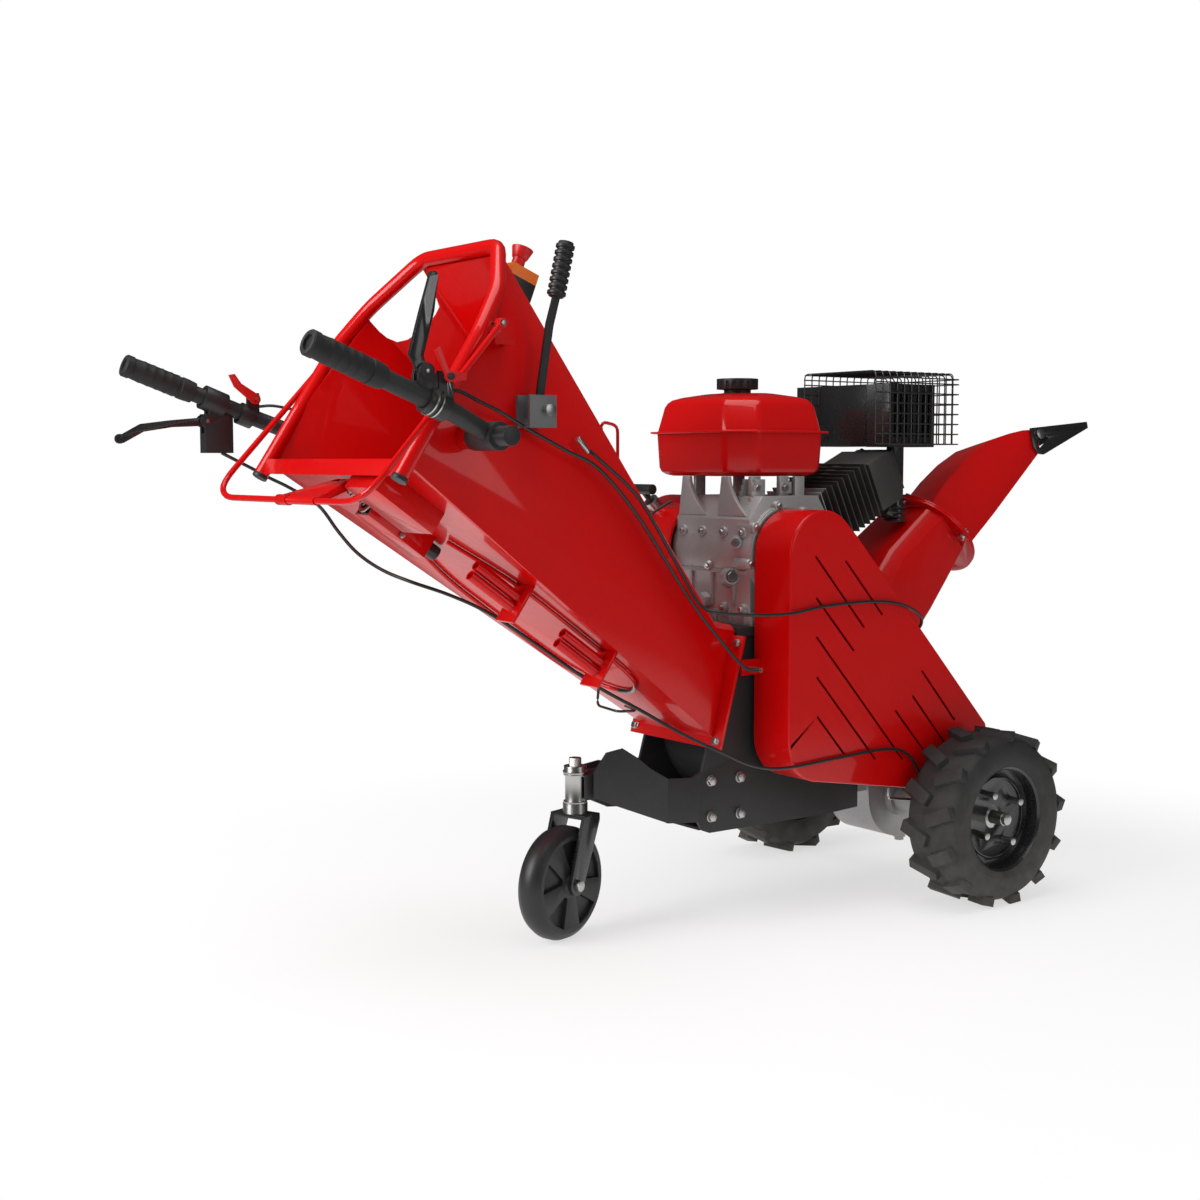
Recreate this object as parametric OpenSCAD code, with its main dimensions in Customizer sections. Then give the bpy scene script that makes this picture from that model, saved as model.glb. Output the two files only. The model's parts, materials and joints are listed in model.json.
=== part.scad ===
// Walk-behind wood chipper: drum chipper with feed hopper, safety hoop, engine and driven wheels.
// Millimetres. The origin is on the ground right under the drive axle; X points from the
// operator's end toward the discharge chute, Y to the operator's left, Z up.

/* [Drive wheels] */
// Outer diameter of the drive tyres, over the lugs
tyre_d = 330; // [320:5:340]
// Width of a drive tyre
tyre_w = 120; // [110:5:125]
// Distance between the inner faces of the two tyres
tyre_gap = 440; // [440:5:460]
// Number of tread lugs on each half of a tyre
lug_count = 13; // [11:1:15]
// Pitch circle of the wheel studs
stud_pcd = 108; // [100:4:112]
// Diameter of the drive axle in the gearbox
axle_d = 25; // [22:1:28]

/* [Castor] */
// Diameter of the castor wheel
castor_d = 200; // [196:2:200]
// Width of the castor wheel
castor_w = 50; // [44:2:52]
// Distance of the castor stem in front of the drive axle
castor_reach = 757; // [750:1:770]
// How far the wheel trails behind its stem
castor_trail = 42; // [38:1:45]
// Angle the castor is turned to in the rest pose
castor_turn = 16.6; // [0:0.1:20]
// Diameter of the castor stem
stem_d = 20; // [18:1:20]

/* [Frame] */
// Distance between the outer faces of the two side plates
frame_w = 186; // [182:1:188]
// Thickness of the frame's side plates
plate_t = 6; // [5:1:6]

/* [Hopper] */
// Thickness of the hopper's sheet
sheet_t = 3; // [2:0.5:4]
// Half width of the hopper where it meets the housing
hopper_base_half = 105; // [103:1:106]
// Widening of the hopper's half width for each millimetre toward the mouth
hopper_flare = 0.186; // [0.18:0.002:0.19]
// Outer diameter of the tube round the mouth
mouth_tube_d = 25; // [22:1:27]
// Diameter of the safety hoop's rod
hoop_rod_d = 10; // [9:1:11]

/* [Handles] */
// Outer diameter of the handlebar tubes
bar_d = 28; // [26:1:29]
// Outer diameter of the grips
grip_d = 38; // [35:1:38]
// Length of the grips
grip_len = 126; // [115:1:126]

/* [Chipping rotor] */
// Radius of the rotor chamber
chamber_r = 150; // [148:1:152]
// Radius of the rotor drum
drum_r = 118; // [110:1:122]
// Number of blades on the drum
blade_count = 2; // [2:1:4]
// Diameter of the rotor shaft
rotor_shaft_d = 35; // [30:1:36]

/* [Belt drive] */
// Radius of the pulley on the engine
crank_pulley_r = 50; // [46:1:52]
// Radius of the pulley on the rotor
rotor_pulley_r = 76; // [70:1:78]
// Radius of the pulley on the gearbox
gearbox_pulley_r = 68; // [60:1:70]
// Depth of the belt cover, from its back edge to its face
cover_depth = 94; // [92:1:96]
// Thickness of the belt cover's sheet
cover_t = 3; // [2:0.5:3]
// Width of the slots in the cover's face
slot_w = 4.5; // [4:0.5:5]

/* [Engine] */
// Length of the fuel tank
tank_len = 250; // [240:1:252]
// Height of the fuel tank
tank_h = 157; // [150:1:160]
// Diameter of the fuel cap
cap_d = 80; // [74:1:82]
// Number of cooling fins on the cylinder
fin_count = 9; // [7:1:9]

/* [Chute] */
// Outer radius of the chute's turning flanges
ring_r = 107; // [104:1:108]
// Tilt of the chute's turning axis from the vertical
ring_tilt = 46.3; // [44:0.1:48]
// Angle the chute is turned to in the rest pose
chute_turn = -16; // [-20:1:0]
// Width of the turning chute
chute_w = 120; // [110:1:120]

/* [Hidden] */
$fn = 48;

// Clearance of a shaft in its bore, on the radius
run_gap = 0.08;

// ---- Places, all from the drive axle and the ground ----
axle_z = tyre_d / 2;
wheel_in = tyre_gap / 2;
wheel_out = wheel_in + tyre_w;
castor_x = -castor_reach;
castor_z = castor_d / 2;
plate_y = frame_w / 2;
rotor_x = -338;
rotor_z = 345;
crank_x = -350;
crank_z = 668;
deck_z = 536;
deck_t = 17;
gearbox_x = 5;
input_z = 290;
cover_back_y = -106;
cover_face_y = cover_back_y - cover_depth;
belt_y = [-178, -128];
flange_foot = [-529, 0, 322];
flange_tilt = 15.7;
flange_len = 208;
flange_half = 130;
under_foot = [-1237, 0, 842];
under_slope = 35.2;
ring_x = 137;
ring_z = 688.6;
hub_x = -1115;
hub_z = 873;
hoop_x = -1072;
hoop_z = 1042;
hoop_y = 226;

// ---- Helpers ----
// Turned part along Y, from y0 to y1, round the point (x, z)
module disc_y(x, z, d, y0, y1) {
    translate([x, y1, z]) rotate([90, 0, 0]) cylinder(h = y1 - y0, d = d);
}

// Plate in the XZ plane from y0 to y1, cut from the children's outline
module plate_y(y0, y1) {
    translate([0, y1, 0]) rotate([90, 0, 0]) linear_extrude(y1 - y0) children();
}

// Round bar from one point to another
module bar(a, b, d) {
    run = b - a;
    translate(a) rotate([0, acos(run.z / norm(run)), atan2(run.y, run.x)])
        cylinder(h = norm(run), d = d);
}

// The same thing on both sides of the machine
module both_sides() {
    children();
    mirror([0, 1, 0]) children();
}

// Frame of the hopper's underside: X down the slope, Z up into the hopper
module under() {
    translate(under_foot) rotate([0, under_slope, 0]) children();
}

// Frame of the hopper's base flange: Z up the flange, X through it
module on_flange() {
    translate(flange_foot) rotate([0, flange_tilt, 0]) children();
}

// Frame of the chute's turning axis: Z out along the axis
module on_ring() {
    translate([ring_x, 0, ring_z]) rotate([0, ring_tilt, 0]) children();
}

// Hexagon bolt head with its washer, standing on z = 0
module bolt_head(d) {
    cylinder(h = 2, d = 2 * d);
    cylinder(h = 2 + 0.65 * d, d = 1.75 * d, $fn = 6);
}

// Rings of corners joined one after another into a closed solid
module loft(rings) {
    sides = len(rings[0]);
    last = (len(rings) - 1) * sides;
    polyhedron(
        points = [for (ring = rings, corner = ring) corner],
        faces = concat(
            [for (k = [1 : sides - 2]) [0, k + 1, k]],
            [for (k = [1 : sides - 2]) [last, last + k, last + k + 1]],
            [for (i = [0 : sides : last - 1], k = [0 : sides - 1])
                [i + k, i + (k + 1) % sides, i + sides + k]],
            [for (i = [0 : sides : last - 1], k = [0 : sides - 1])
                [i + (k + 1) % sides, i + sides + (k + 1) % sides, i + sides + k]]
        ));
}

// Route with each inner corner rounded over a reach on both sides of it
function rounded(route, reach) = [
    for (i = [0 : len(route) - 1])
        let (p = route[i])
        if (i == 0 || i == len(route) - 1) p
        else
            let (
                back = route[i - 1] - p,
                on = route[i + 1] - p,
                a = p + min(reach, norm(back) / 2.1) * back / norm(back),
                b = p + min(reach, norm(on) / 2.1) * on / norm(on)
            )
            for (t = [0, 0.25, 0.5, 0.75, 1])
                (1 - t) * (1 - t) * a + 2 * t * (1 - t) * p + t * t * b
];

function route_step(route, i) = i == 0 ? route[1] - route[0]
    : i == len(route) - 1 ? route[i] - route[i - 1]
    : (route[i + 1] - route[i]) / norm(route[i + 1] - route[i])
        + (route[i] - route[i - 1]) / norm(route[i] - route[i - 1]);

// Round bar or cable swept along a route, each ring square to the one before it
module swept(route, d, sides = 12) {
    loft([for (i = [0 : len(route) - 1])
        let (
            dir = route_step(route, i) / norm(route_step(route, i)),
            flat = abs(dir.z) > 0.95 ? cross(dir, [0, 1, 0]) : cross(dir, [0, 0, 1]),
            side = flat / norm(flat),
            up = cross(side, dir)
        )
        [for (k = [0 : sides - 1])
            route[i] + d / 2 * (cos(360 * k / sides) * side + sin(360 * k / sides) * up)]]);
}

// ---- Frame and castor ----
frame_profile = [
    [-622, 196], [-552, 189], [-543, 173], [-525, 166], [-240, 164], [-150, 168],
    [-150, 300], [-185, 519], [-474, 519], [-533, 318], [-544, 280], [-566, 271], [-622, 276]
];
near_nose = [[-134, 246], [0, 196], [0, 276], [-30, 294], [-56, 316], [-82, 333],
    [-112, 326], [-134, 292]];
far_nose = [[-134, 246], [0, 196], [0, 276], [-30, 288], [-134, 290]];
nose_turn = 24.6;
frame_bolt_spots = [[-524, 262], [-455, 261], [-523, 196], [-454, 194]];

module side_plate(nose) {
    color([0.2, 0.2, 0.2]) difference() {
        union() {
            plate_y(-plate_y, -plate_y + plate_t) polygon(frame_profile);
            translate([-621, -plate_y, 0]) rotate([0, 0, -nose_turn])
                plate_y(0, plate_t) polygon(nose);
        }
        disc_y(rotor_x, rotor_z, rotor_shaft_d + 12, -plate_y - 1, -plate_y + plate_t + 1);
    }
}

module frame_side_plates() {
    side_plate(near_nose);
    mirror([0, 1, 0]) side_plate(far_nose);
}

module frame_cross_members() {
    inside = 2 * (plate_y - plate_t);
    color([0.2, 0.2, 0.2]) {
        // Floor plate between the side plates, under the rotor
        translate([-545, -inside / 2, 172]) cube([345, inside, 6]);
        // Front wall behind the castor arm, with the arm's seat
        translate([-618, -inside / 2, 200]) cube([6, inside, 70]);
        // Rear wall that the gearbox is bolted to
        translate([-160, -inside / 2, 172]) cube([8, inside, 108]);
    }
    // Deck that the engine stands on
    color([0.2, 0.2, 0.2])
        translate([-467, -plate_y - 5, deck_z - deck_t]) cube([307, 2 * plate_y + 75, deck_t]);
}

module fasteners() {
    color([0.62, 0.62, 0.62]) {
        both_sides()
            for (spot = frame_bolt_spots)
                translate([spot.x, -plate_y, spot.y]) rotate([90, 0, 0]) bolt_head(10);
        for (side = [-1, 1], up = [14, 194])
            on_flange() translate([-6, side * 117, up]) rotate([0, -90, 0]) bolt_head(8);
        under()
            for (spot = [[122, -21], [172, -9], [172, -31]])
                translate([spot.x, -22, spot.y]) rotate([90, 0, 0]) bolt_head(5);
        // Pivot pins of the safety hoop
        both_sides() disc_y(hoop_x, hoop_z, 8, -hoop_y - 34, -hoop_y);
    }
}

arm_half = 25;
arm_low = 240;
arm_high = 295;
sleeve_d = 36;

module castor_arm() {
    // Welded box that tapers toward the frame, with the stem's sleeve at its nose
    wall = 4;
    color([0.2, 0.2, 0.2]) difference() {
        translate([castor_x + 4, -arm_half, arm_low + 2])
            cube([-618 - castor_x - 4, 2 * arm_half, arm_high - arm_low - 10]);
        translate([castor_x + 3, -arm_half + wall, arm_low + 2 + wall])
            cube([-618 - castor_x - 6, 2 * (arm_half - wall), arm_high - arm_low - 10 - 2 * wall]);
        translate([castor_x, 0, arm_low - 1]) cylinder(h = 70, d = sleeve_d);
    }
    color([0.72, 0.72, 0.72]) difference() {
        translate([castor_x, 0, 0]) {
            translate([0, 0, 236]) cylinder(h = 52, d = sleeve_d);
            translate([0, 0, 236]) cylinder(h = 3, d = 42);
            translate([0, 0, 285]) cylinder(h = 3, d = 42);
        }
        translate([castor_x, 0, 230]) cylinder(h = 70, d = stem_d + 2 * run_gap);
    }
}

// Frame of the castor, turned to its rest angle, with the wheel trailing along -X
module castor_frame() {
    translate([castor_x, 0, 0]) rotate([0, 0, castor_turn]) children();
}

fork_half = 38;
fork_t = 7;

module castor_fork() {
    color([0.3, 0.3, 0.3]) castor_frame() {
        // Crown over the wheel
        translate([-22, -fork_half, 211]) cube([44, 2 * fork_half, fork_t]);
        both_sides() difference() {
            hull() {
                translate([-22, -fork_half, 205]) cube([44, fork_t, 10]);
                disc_y(-castor_trail, castor_z, 36, -fork_half, -fork_half + fork_t);
            }
            disc_y(-castor_trail, castor_z, 12, -fork_half - 1, -fork_half + fork_t + 1);
        }
    }
    color([0.72, 0.72, 0.72]) translate([castor_x, 0, 0]) {
        translate([0, 0, 217]) cylinder(h = 18.5, d = 44);
        translate([0, 0, 230]) cylinder(h = 76, d = stem_d);
    }
}

module castor_wheel() {
    recess = 9;
    half = castor_w / 2;
    color([0.08, 0.08, 0.08]) castor_frame()
        translate([-castor_trail, 0, castor_z]) rotate([90, 0, 0]) difference() {
            rotate_extrude($fn = 96) polygon([
                [6 + run_gap, -half - 6], [16, -half - 6], [20, -half], [castor_d / 2 - 14, -half],
                [castor_d / 2 - 5, -half + 7], [castor_d / 2, -half + 18], [castor_d / 2, half - 18],
                [castor_d / 2 - 5, half - 7], [castor_d / 2 - 14, half], [20, half],
                [16, half + 6], [6 + run_gap, half + 6]
            ]);
            for (side = [0, 1], i = [0 : 4])
                rotate([180 * side, 0, 72 * i + 18]) translate([0, 0, half - recess])
                    linear_extrude(recess + 1) polygon([[26, 4], [74, 26], [78, 0], [74, -26], [26, -4]]);
        }
}

module castor_hardware() {
    // Washer, collar and nut on top of the stem
    color([0.72, 0.72, 0.72]) translate([castor_x, 0, 0]) difference() {
        union() {
            translate([0, 0, 288.5]) cylinder(h = 4, d = 44);
            translate([0, 0, 292.5]) cylinder(h = 9, d = 40);
            translate([0, 0, 301.5]) cylinder(h = 14, d = 24, $fn = 6);
        }
        translate([0, 0, 287]) cylinder(h = 19, d = stem_d);
    }
    // Axle bolt through the fork
    color([0.62, 0.62, 0.62]) castor_frame() {
        disc_y(-castor_trail, castor_z, 12, -fork_half - 2, fork_half + 2);
        both_sides() disc_y(-castor_trail, castor_z, 19, -fork_half - 8, -fork_half);
    }
}

// ---- Rotor, housing and belt drive ----
housing_half = plate_y - plate_t;
throw_angle = 43.7;
throat_len = 330;

// Outline of the rotor chamber, its way in from the hopper and its way out to the duct
module chamber_outline(grow) {
    translate([rotor_x, rotor_z]) circle(r = chamber_r + grow, $fn = 96);
    polygon([[-521 - grow, 352 - grow], [-475 - grow, 516 + grow], [rotor_x, 516], [rotor_x, 300]]);
    translate([rotor_x, rotor_z]) rotate(throw_angle)
        translate([0, -chamber_r - grow]) square([throat_len, 150 + 2 * grow]);
}

module rotor_housing() {
    wall = 4;
    color([0.2, 0.2, 0.2]) difference() {
        plate_y(-housing_half + 0.2, housing_half - 0.2) intersection() {
            chamber_outline(wall);
            polygon([[-600, 177], [0, 177], [200, 500], [-60, 600], [-215, 518.8], [-474, 518.8],
                [-531, 318]]);
        }
        plate_y(-housing_half + wall, housing_half - wall) chamber_outline(0);
        disc_y(rotor_x, rotor_z, rotor_shaft_d + 12, -200, 200);
        // Way in from the hopper
        on_flange() translate([-20, -78, 36]) cube([60, 156, 158]);
        // Way out to the duct
        translate([rotor_x, 0, rotor_z]) rotate([0, -throw_angle, 0])
            translate([throat_len - 5, -78, -chamber_r + wall]) cube([10, 156, 142]);
    }
}

module rotor_bearings() {
    color([0.5, 0.5, 0.52]) both_sides() difference() {
        union() {
            disc_y(rotor_x, rotor_z, 78, -plate_y - 12, -plate_y);
            disc_y(rotor_x, rotor_z, rotor_shaft_d + 12, -plate_y, -plate_y + plate_t);
        }
        disc_y(rotor_x, rotor_z, rotor_shaft_d + 2 * run_gap, -plate_y - 20, -plate_y + 20);
    }
}

module rotor_shaft() {
    color([0.7, 0.7, 0.7]) disc_y(rotor_x, rotor_z, rotor_shaft_d, -184, plate_y + 20);
}

drum_half = housing_half - 8;

module rotor_drum() {
    color([0.35, 0.35, 0.36]) difference() {
        disc_y(rotor_x, rotor_z, 2 * drum_r, -drum_half, drum_half);
        disc_y(rotor_x, rotor_z, rotor_shaft_d, -drum_half - 1, drum_half + 1);
        for (i = [0 : blade_count - 1])
            translate([rotor_x, 0, rotor_z]) rotate([0, 360 * i / blade_count + 30, 0])
                translate([-20, -drum_half - 1, drum_r - 18]) cube([36, 2 * drum_half + 2, 20]);
    }
}

module rotor_blades() {
    color([0.75, 0.75, 0.76])
        for (i = [0 : blade_count - 1])
            translate([rotor_x, 0, rotor_z]) rotate([0, 360 * i / blade_count + 30, 0])
                translate([-20, -drum_half, drum_r - 18]) rotate([90, 0, 0]) mirror([0, 0, 1])
                    linear_extrude(2 * drum_half) polygon([[0, 0], [12, 0], [12, 16], [4, 26], [0, 26]]);
}

// Twin groove pulley along Y, round the point (x, z)
module pulley(x, z, r, bore_d) {
    groove = 9;
    translate([x, belt_y[1], z]) rotate([90, 0, 0]) rotate_extrude($fn = 96) polygon([
        [bore_d / 2, 0], [r, 0], [r, 3], [r - groove, 7], [r - groove, 15], [r, 19], [r, 31],
        [r - groove, 35], [r - groove, 43], [r, 47], [r, 50], [bore_d / 2, 50]
    ]);
}

module rotor_pulley() {
    color([0.3, 0.3, 0.32]) pulley(rotor_x, rotor_z, rotor_pulley_r, rotor_shaft_d);
}

module gearbox_pulley() {
    color([0.3, 0.3, 0.32]) pulley(gearbox_x, input_z, gearbox_pulley_r, 20);
    color([0.6, 0.6, 0.6]) disc_y(gearbox_x, input_z, 20, belt_y[0], -70);
}

// One belt round two pulleys: a flat loop with its own thickness
module belt_loop(a, ra, b, rb, y0, y1) {
    thick = 7;
    plate_y(y0, y1) difference() {
        hull() {
            translate(a) circle(r = ra + thick);
            translate(b) circle(r = rb + thick);
        }
        hull() {
            translate(a) circle(r = ra);
            translate(b) circle(r = rb);
        }
    }
}

module drive_belts() {
    depth = 8.2;
    color([0.06, 0.06, 0.06]) {
        belt_loop([crank_x, crank_z], crank_pulley_r - depth, [rotor_x, rotor_z],
            rotor_pulley_r - depth, belt_y[1] - 14, belt_y[1] - 8);
        belt_loop([rotor_x, rotor_z], rotor_pulley_r - depth, [gearbox_x, input_z],
            gearbox_pulley_r - depth, belt_y[1] - 42, belt_y[1] - 36);
    }
}

idler_pivot = [-236, 428];
idler_centre = [-252, 505];
idler_r = 24;

module idler_arm() {
    color([0.4, 0.4, 0.42]) {
        difference() {
            plate_y(-121, -115) hull() {
                translate(idler_pivot) circle(d = 26);
                translate(idler_centre) circle(d = 26);
            }
            disc_y(idler_pivot.x, idler_pivot.y, 12 + 2 * run_gap, -130, -100);
        }
        disc_y(idler_centre.x, idler_centre.y, 10, -150, -118);
    }
}

module idler_pulley() {
    color([0.3, 0.3, 0.32]) difference() {
        disc_y(idler_centre.x, idler_centre.y, 2 * idler_r, -148, -126);
        disc_y(idler_centre.x, idler_centre.y, 10 + 2 * run_gap, -160, -120);
    }
}

// Outline of the belt cover's face, grown by a distance
module cover_outline(grow) {
    offset(delta = grow) {
        hull() {
            translate([crank_x, 667]) circle(r = 82, $fn = 64);
            translate([-351, 336]) circle(r = 80, $fn = 64);
        }
        polygon([[-420, 560], [-292, 725], [-264, 699], [95, 322], [100, 300], [100, 183],
            [-69, 209], [-355, 256]]);
    }
}

cover_slots = [
    [[-371, 667], [-246, 531]], [[-296, 656], [-199, 552]], [[-368, 592], [-272, 490]],
    [[-367, 522], [-139, 274]], [[-365, 449], [-213, 283]], [[-363, 377], [-293, 300]],
    [[-161, 370], [-64, 267]], [[-115, 394], [-12, 282]], [[-91, 440], [4, 336]]
];

module belt_cover() {
    color([0.75, 0.02, 0.02]) difference() {
        plate_y(cover_face_y, cover_back_y) cover_outline(0);
        plate_y(cover_face_y + cover_t, cover_back_y + 1) cover_outline(-cover_t);
        for (slot = cover_slots) {
            run = slot[1] - slot[0];
            translate([slot[0].x, cover_face_y, slot[0].y]) rotate([0, -atan2(run.y, run.x), 0])
                translate([0, -2, -slot_w / 2]) cube([norm(run), cover_t + 4, slot_w]);
        }
    }
    // Tab with the clutch cable's adjuster
    color([0.75, 0.02, 0.02]) translate([-478, -124, 452]) cube([47.5, 4, 28]);
    color([0.72, 0.72, 0.72]) disc_y(-462, 464, 9, -158, -124);
}

module belt_back_plate() {
    color([0.2, 0.2, 0.2]) difference() {
        plate_y(cover_back_y, cover_back_y + 3) cover_outline(-2);
        disc_y(crank_x, crank_z, 60, -120, -90);
        disc_y(rotor_x, rotor_z, 84, -120, -90);
        disc_y(gearbox_x, input_z, 40, -120, -90);
    }
    color([0.6, 0.6, 0.6]) disc_y(idler_pivot.x, idler_pivot.y, 12, -124, cover_back_y + 1);
}

module gearbox() {
    color([0.6, 0.6, 0.6]) difference() {
        union() {
            // Cast casing round the axle and up to the input shaft
            plate_y(-58, 58) hull() {
                translate([gearbox_x, 172]) circle(r = 88);
                translate([gearbox_x, 236]) circle(r = 92);
            }
            disc_y(gearbox_x, input_z, 86, -70, 58);
            // Axle tubes
            both_sides() disc_y(0, axle_z, 56, -150, -50);
            both_sides() disc_y(0, axle_z, 74, -74, -50);
            // Drain boss
            translate([40, -25, 72]) cylinder(h = 30, d = 26);
            translate([40, -25, 65]) cylinder(h = 8, d = 19, $fn = 6);
            // Lugs that bolt it to the frame
            translate([-152, -50, 185]) cube([90, 100, 60]);
        }
        disc_y(0, axle_z, axle_d + 2 * run_gap, -160, 160);
        disc_y(gearbox_x, input_z, 20 + 2 * run_gap, -80, -20);
    }
    // Wire bracket that guides the two cables down to the selector
    color([0.72, 0.72, 0.72]) {
        swept(rounded([[-98, -205, 245], [-97, -205, 193], [-183, -205, 207], [-183, -205, 226]],
            8), 6, 8);
        swept(rounded([[-110, -205, 195], [-60, -120, 200], [-30, -50, 200]], 20), 6, 8);
    }
}

// ---- Hopper ----
function half_at(x) = hopper_base_half + hopper_flare * (-520 - x);

// Half of a hopper section as [x, z, y]: bottom corner, side crease, top corner
mouth_half = [[-1232, 838], [-1046, 1086], [-984, 1165]];
mouth_top_y = 117;
knee_half = [[-574, 375], [-523, 540], [-508, 549]];
base_half = [[-527, 342], [-470, 530], [-466, 540]];
knee_top_y = 80;

far_scallops = [
    [-1060, 1100], [-1046, 1076], [-1030, 1059], [-1017, 1049], [-1000, 1041.5], [-985, 1046],
    [-973, 1058], [-962, 1072], [-955, 1087], [-952, 1100], [-958, 1112], [-972, 1136],
    [-983, 1156], [-1000, 1190]
];

// Closed ring of six corners of a section, moved inward by a sheet's thickness
function ring_of(half, top_y, inset) = [
    [half[0].x, -half_at(half[0].x) + inset, half[0].y + 1.2 * inset],
    [half[1].x - 0.4 * inset, -half_at(half[1].x) + inset, half[1].y - 0.6 * inset],
    [half[2].x - inset, -top_y + 0.4 * inset, half[2].y - 1.2 * inset],
    [half[2].x - inset, top_y - 0.4 * inset, half[2].y - 1.2 * inset],
    [half[1].x - 0.4 * inset, half_at(half[1].x) - inset, half[1].y - 0.6 * inset],
    [half[0].x, half_at(half[0].x) - inset, half[0].y + 1.2 * inset]
];

module hopper_body(inset) {
    loft([ring_of(mouth_half, mouth_top_y, inset), ring_of(knee_half, knee_top_y, inset),
        ring_of(base_half, knee_top_y, inset)]);
}

module feed_hopper() {
    color([0.75, 0.02, 0.02]) {
        difference() {
            union() {
                hopper_body(0);
                on_flange() translate([-6, -flange_half, 0]) cube([6, 2 * flange_half, flange_len]);
            }
            hopper_body(sheet_t);
            // Open mouth and open base
            translate([-1232, 0, 838]) rotate([0, 36.9, 0]) translate([-60, -260, -40])
                cube([62, 520, 460]);
            on_flange() translate([-7, -90, 26]) cube([40, 180, 176]);
            // Scalloped edge of the far corner panel
            plate_y(mouth_top_y + 1, 260) polygon(far_scallops);
        }
        // Lip along the lower edge of the mouth
        plate_y(-225, 225) polygon([[-1240, 815], [-1236, 815], [-1226, 838], [-1230, 840]]);
    }
}

mouth_foot = [-1237, 235, 814];
mouth_knee = [-1096, 231, 1030];
mouth_bend = [-1047, 203, 1096];
mouth_top = [-989, 117, 1176];

// A point and its twin on the other side
function twin(p) = [p.x, -p.y, p.z];

module mouth_tube() {
    color([0.75, 0.02, 0.02]) {
        swept(rounded([twin(mouth_foot), twin(mouth_knee), twin(mouth_bend), twin(mouth_top),
            mouth_top, mouth_bend, mouth_knee, mouth_foot], 24), mouth_tube_d, 16);
        // Plates that carry the safety hoop's pivots
        both_sides() {
            plate_y(-hoop_y - 5, -hoop_y) union() {
                translate([hoop_x, hoop_z]) circle(d = 26);
                translate([hoop_x + 2, hoop_z - 30]) square([36, 40]);
            }
            translate([hoop_x + 30, -hoop_y - 4, hoop_z - 30])
                cube([8, hoop_y + 3 - half_at(hoop_x + 34), 40]);
        }
    }
}

module tube_end_caps() {
    axis = mouth_foot - mouth_knee;
    color([0.06, 0.06, 0.06]) both_sides() {
        start = [mouth_foot.x, -mouth_foot.y, mouth_foot.z];
        step = [axis.x, -axis.y, axis.z] / norm(axis);
        bar(start, start + 7 * step, mouth_tube_d + 1);
    }
}

sleeve_at = [-1309, 777];
rod_eye = [-1204.7, 800.9];

module safety_hoop() {
    color([0.75, 0.02, 0.02]) difference() {
        union() {
            swept(rounded([[hoop_x, -hoop_y - 26, hoop_z], [-1296, -262, 799],
                [sleeve_at.x, -222, sleeve_at.y], [sleeve_at.x, 222, sleeve_at.y],
                [-1296, 262, 799], [hoop_x, hoop_y + 26, hoop_z]], 34), hoop_rod_d, 12);
            both_sides() disc_y(hoop_x, hoop_z, 16, -hoop_y - 32, -hoop_y - 20);
        }
        disc_y(hoop_x, hoop_z, 8 + 2 * run_gap, -300, 300);
    }
}

module stop_link() {
    // Triangular plate from the hoop's bar to the stop rod's eye, forked round the eye
    fork = 26;
    fork_gap = 14;
    color([0.75, 0.02, 0.02]) difference() {
        union() {
            disc_y(sleeve_at.x, sleeve_at.y, 17, -18, 18);
            hull() {
                disc_y(sleeve_at.x, sleeve_at.y, 13, -108, 16, $fn = 32);
                disc_y(rod_eye.x, rod_eye.y, 15, -fork, fork, $fn = 32);
            }
        }
        disc_y(sleeve_at.x, sleeve_at.y, hoop_rod_d + 2 * run_gap, -120, 120);
        disc_y(rod_eye.x, rod_eye.y, 34, -fork_gap, fork_gap);
    }
}

// Spring as a loft of small rings along a helix
module coil(r, wire, pitch, turns) {
    steps = 12;
    loft([for (i = [0 : turns * steps])
        let (a = 360 * i / steps)
        [for (k = [0 : 5])
            let (reach = r + wire / 2 * cos(60 * k))
            [reach * cos(a), reach * sin(a), pitch * i / steps + wire / 2 * sin(60 * k)]]]);
}

module stop_rod() {
    color([0.62, 0.62, 0.62]) under() {
        translate([56, 0, -15]) rotate([0, 90, 0]) cylinder(h = 159, d = 12);
        translate([50, 7, -15]) rotate([90, 0, 0]) cylinder(h = 14, d = 15);
        translate([64, 0, -15]) rotate([0, 90, 0]) coil(8.5, 3.4, 6.5, 5);
    }
}

module stop_mechanism_box() {
    color([0.75, 0.02, 0.02]) under() {
        // Channel round the rod
        difference() {
            translate([103, -22, -38]) cube([124, 44, 38]);
            translate([102, -19, -35]) cube([126, 38, 32]);
        }
        // Larger closed cover beside it, clear of the link
        translate([25, -155, -38]) cube([125, 92, 38]);
    }
    color([0.62, 0.62, 0.62]) under() {
        // Guide ring at the channel's mouth
        translate([99, 0, -15]) rotate([0, 90, 0]) difference() {
            cylinder(h = 4, d = 40);
            translate([0, 0, -1]) cylinder(h = 6, d = 27);
        }
    }
    // Tube that the rod's end runs in, with a rubber cap
    color([0.06, 0.06, 0.06]) under() translate([205, 0, -15]) rotate([0, 90, 0]) difference() {
        cylinder(h = 48, d = 25);
        translate([0, 0, -1]) cylinder(h = 45, d = 12 + 2 * run_gap);
    }
}

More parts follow.
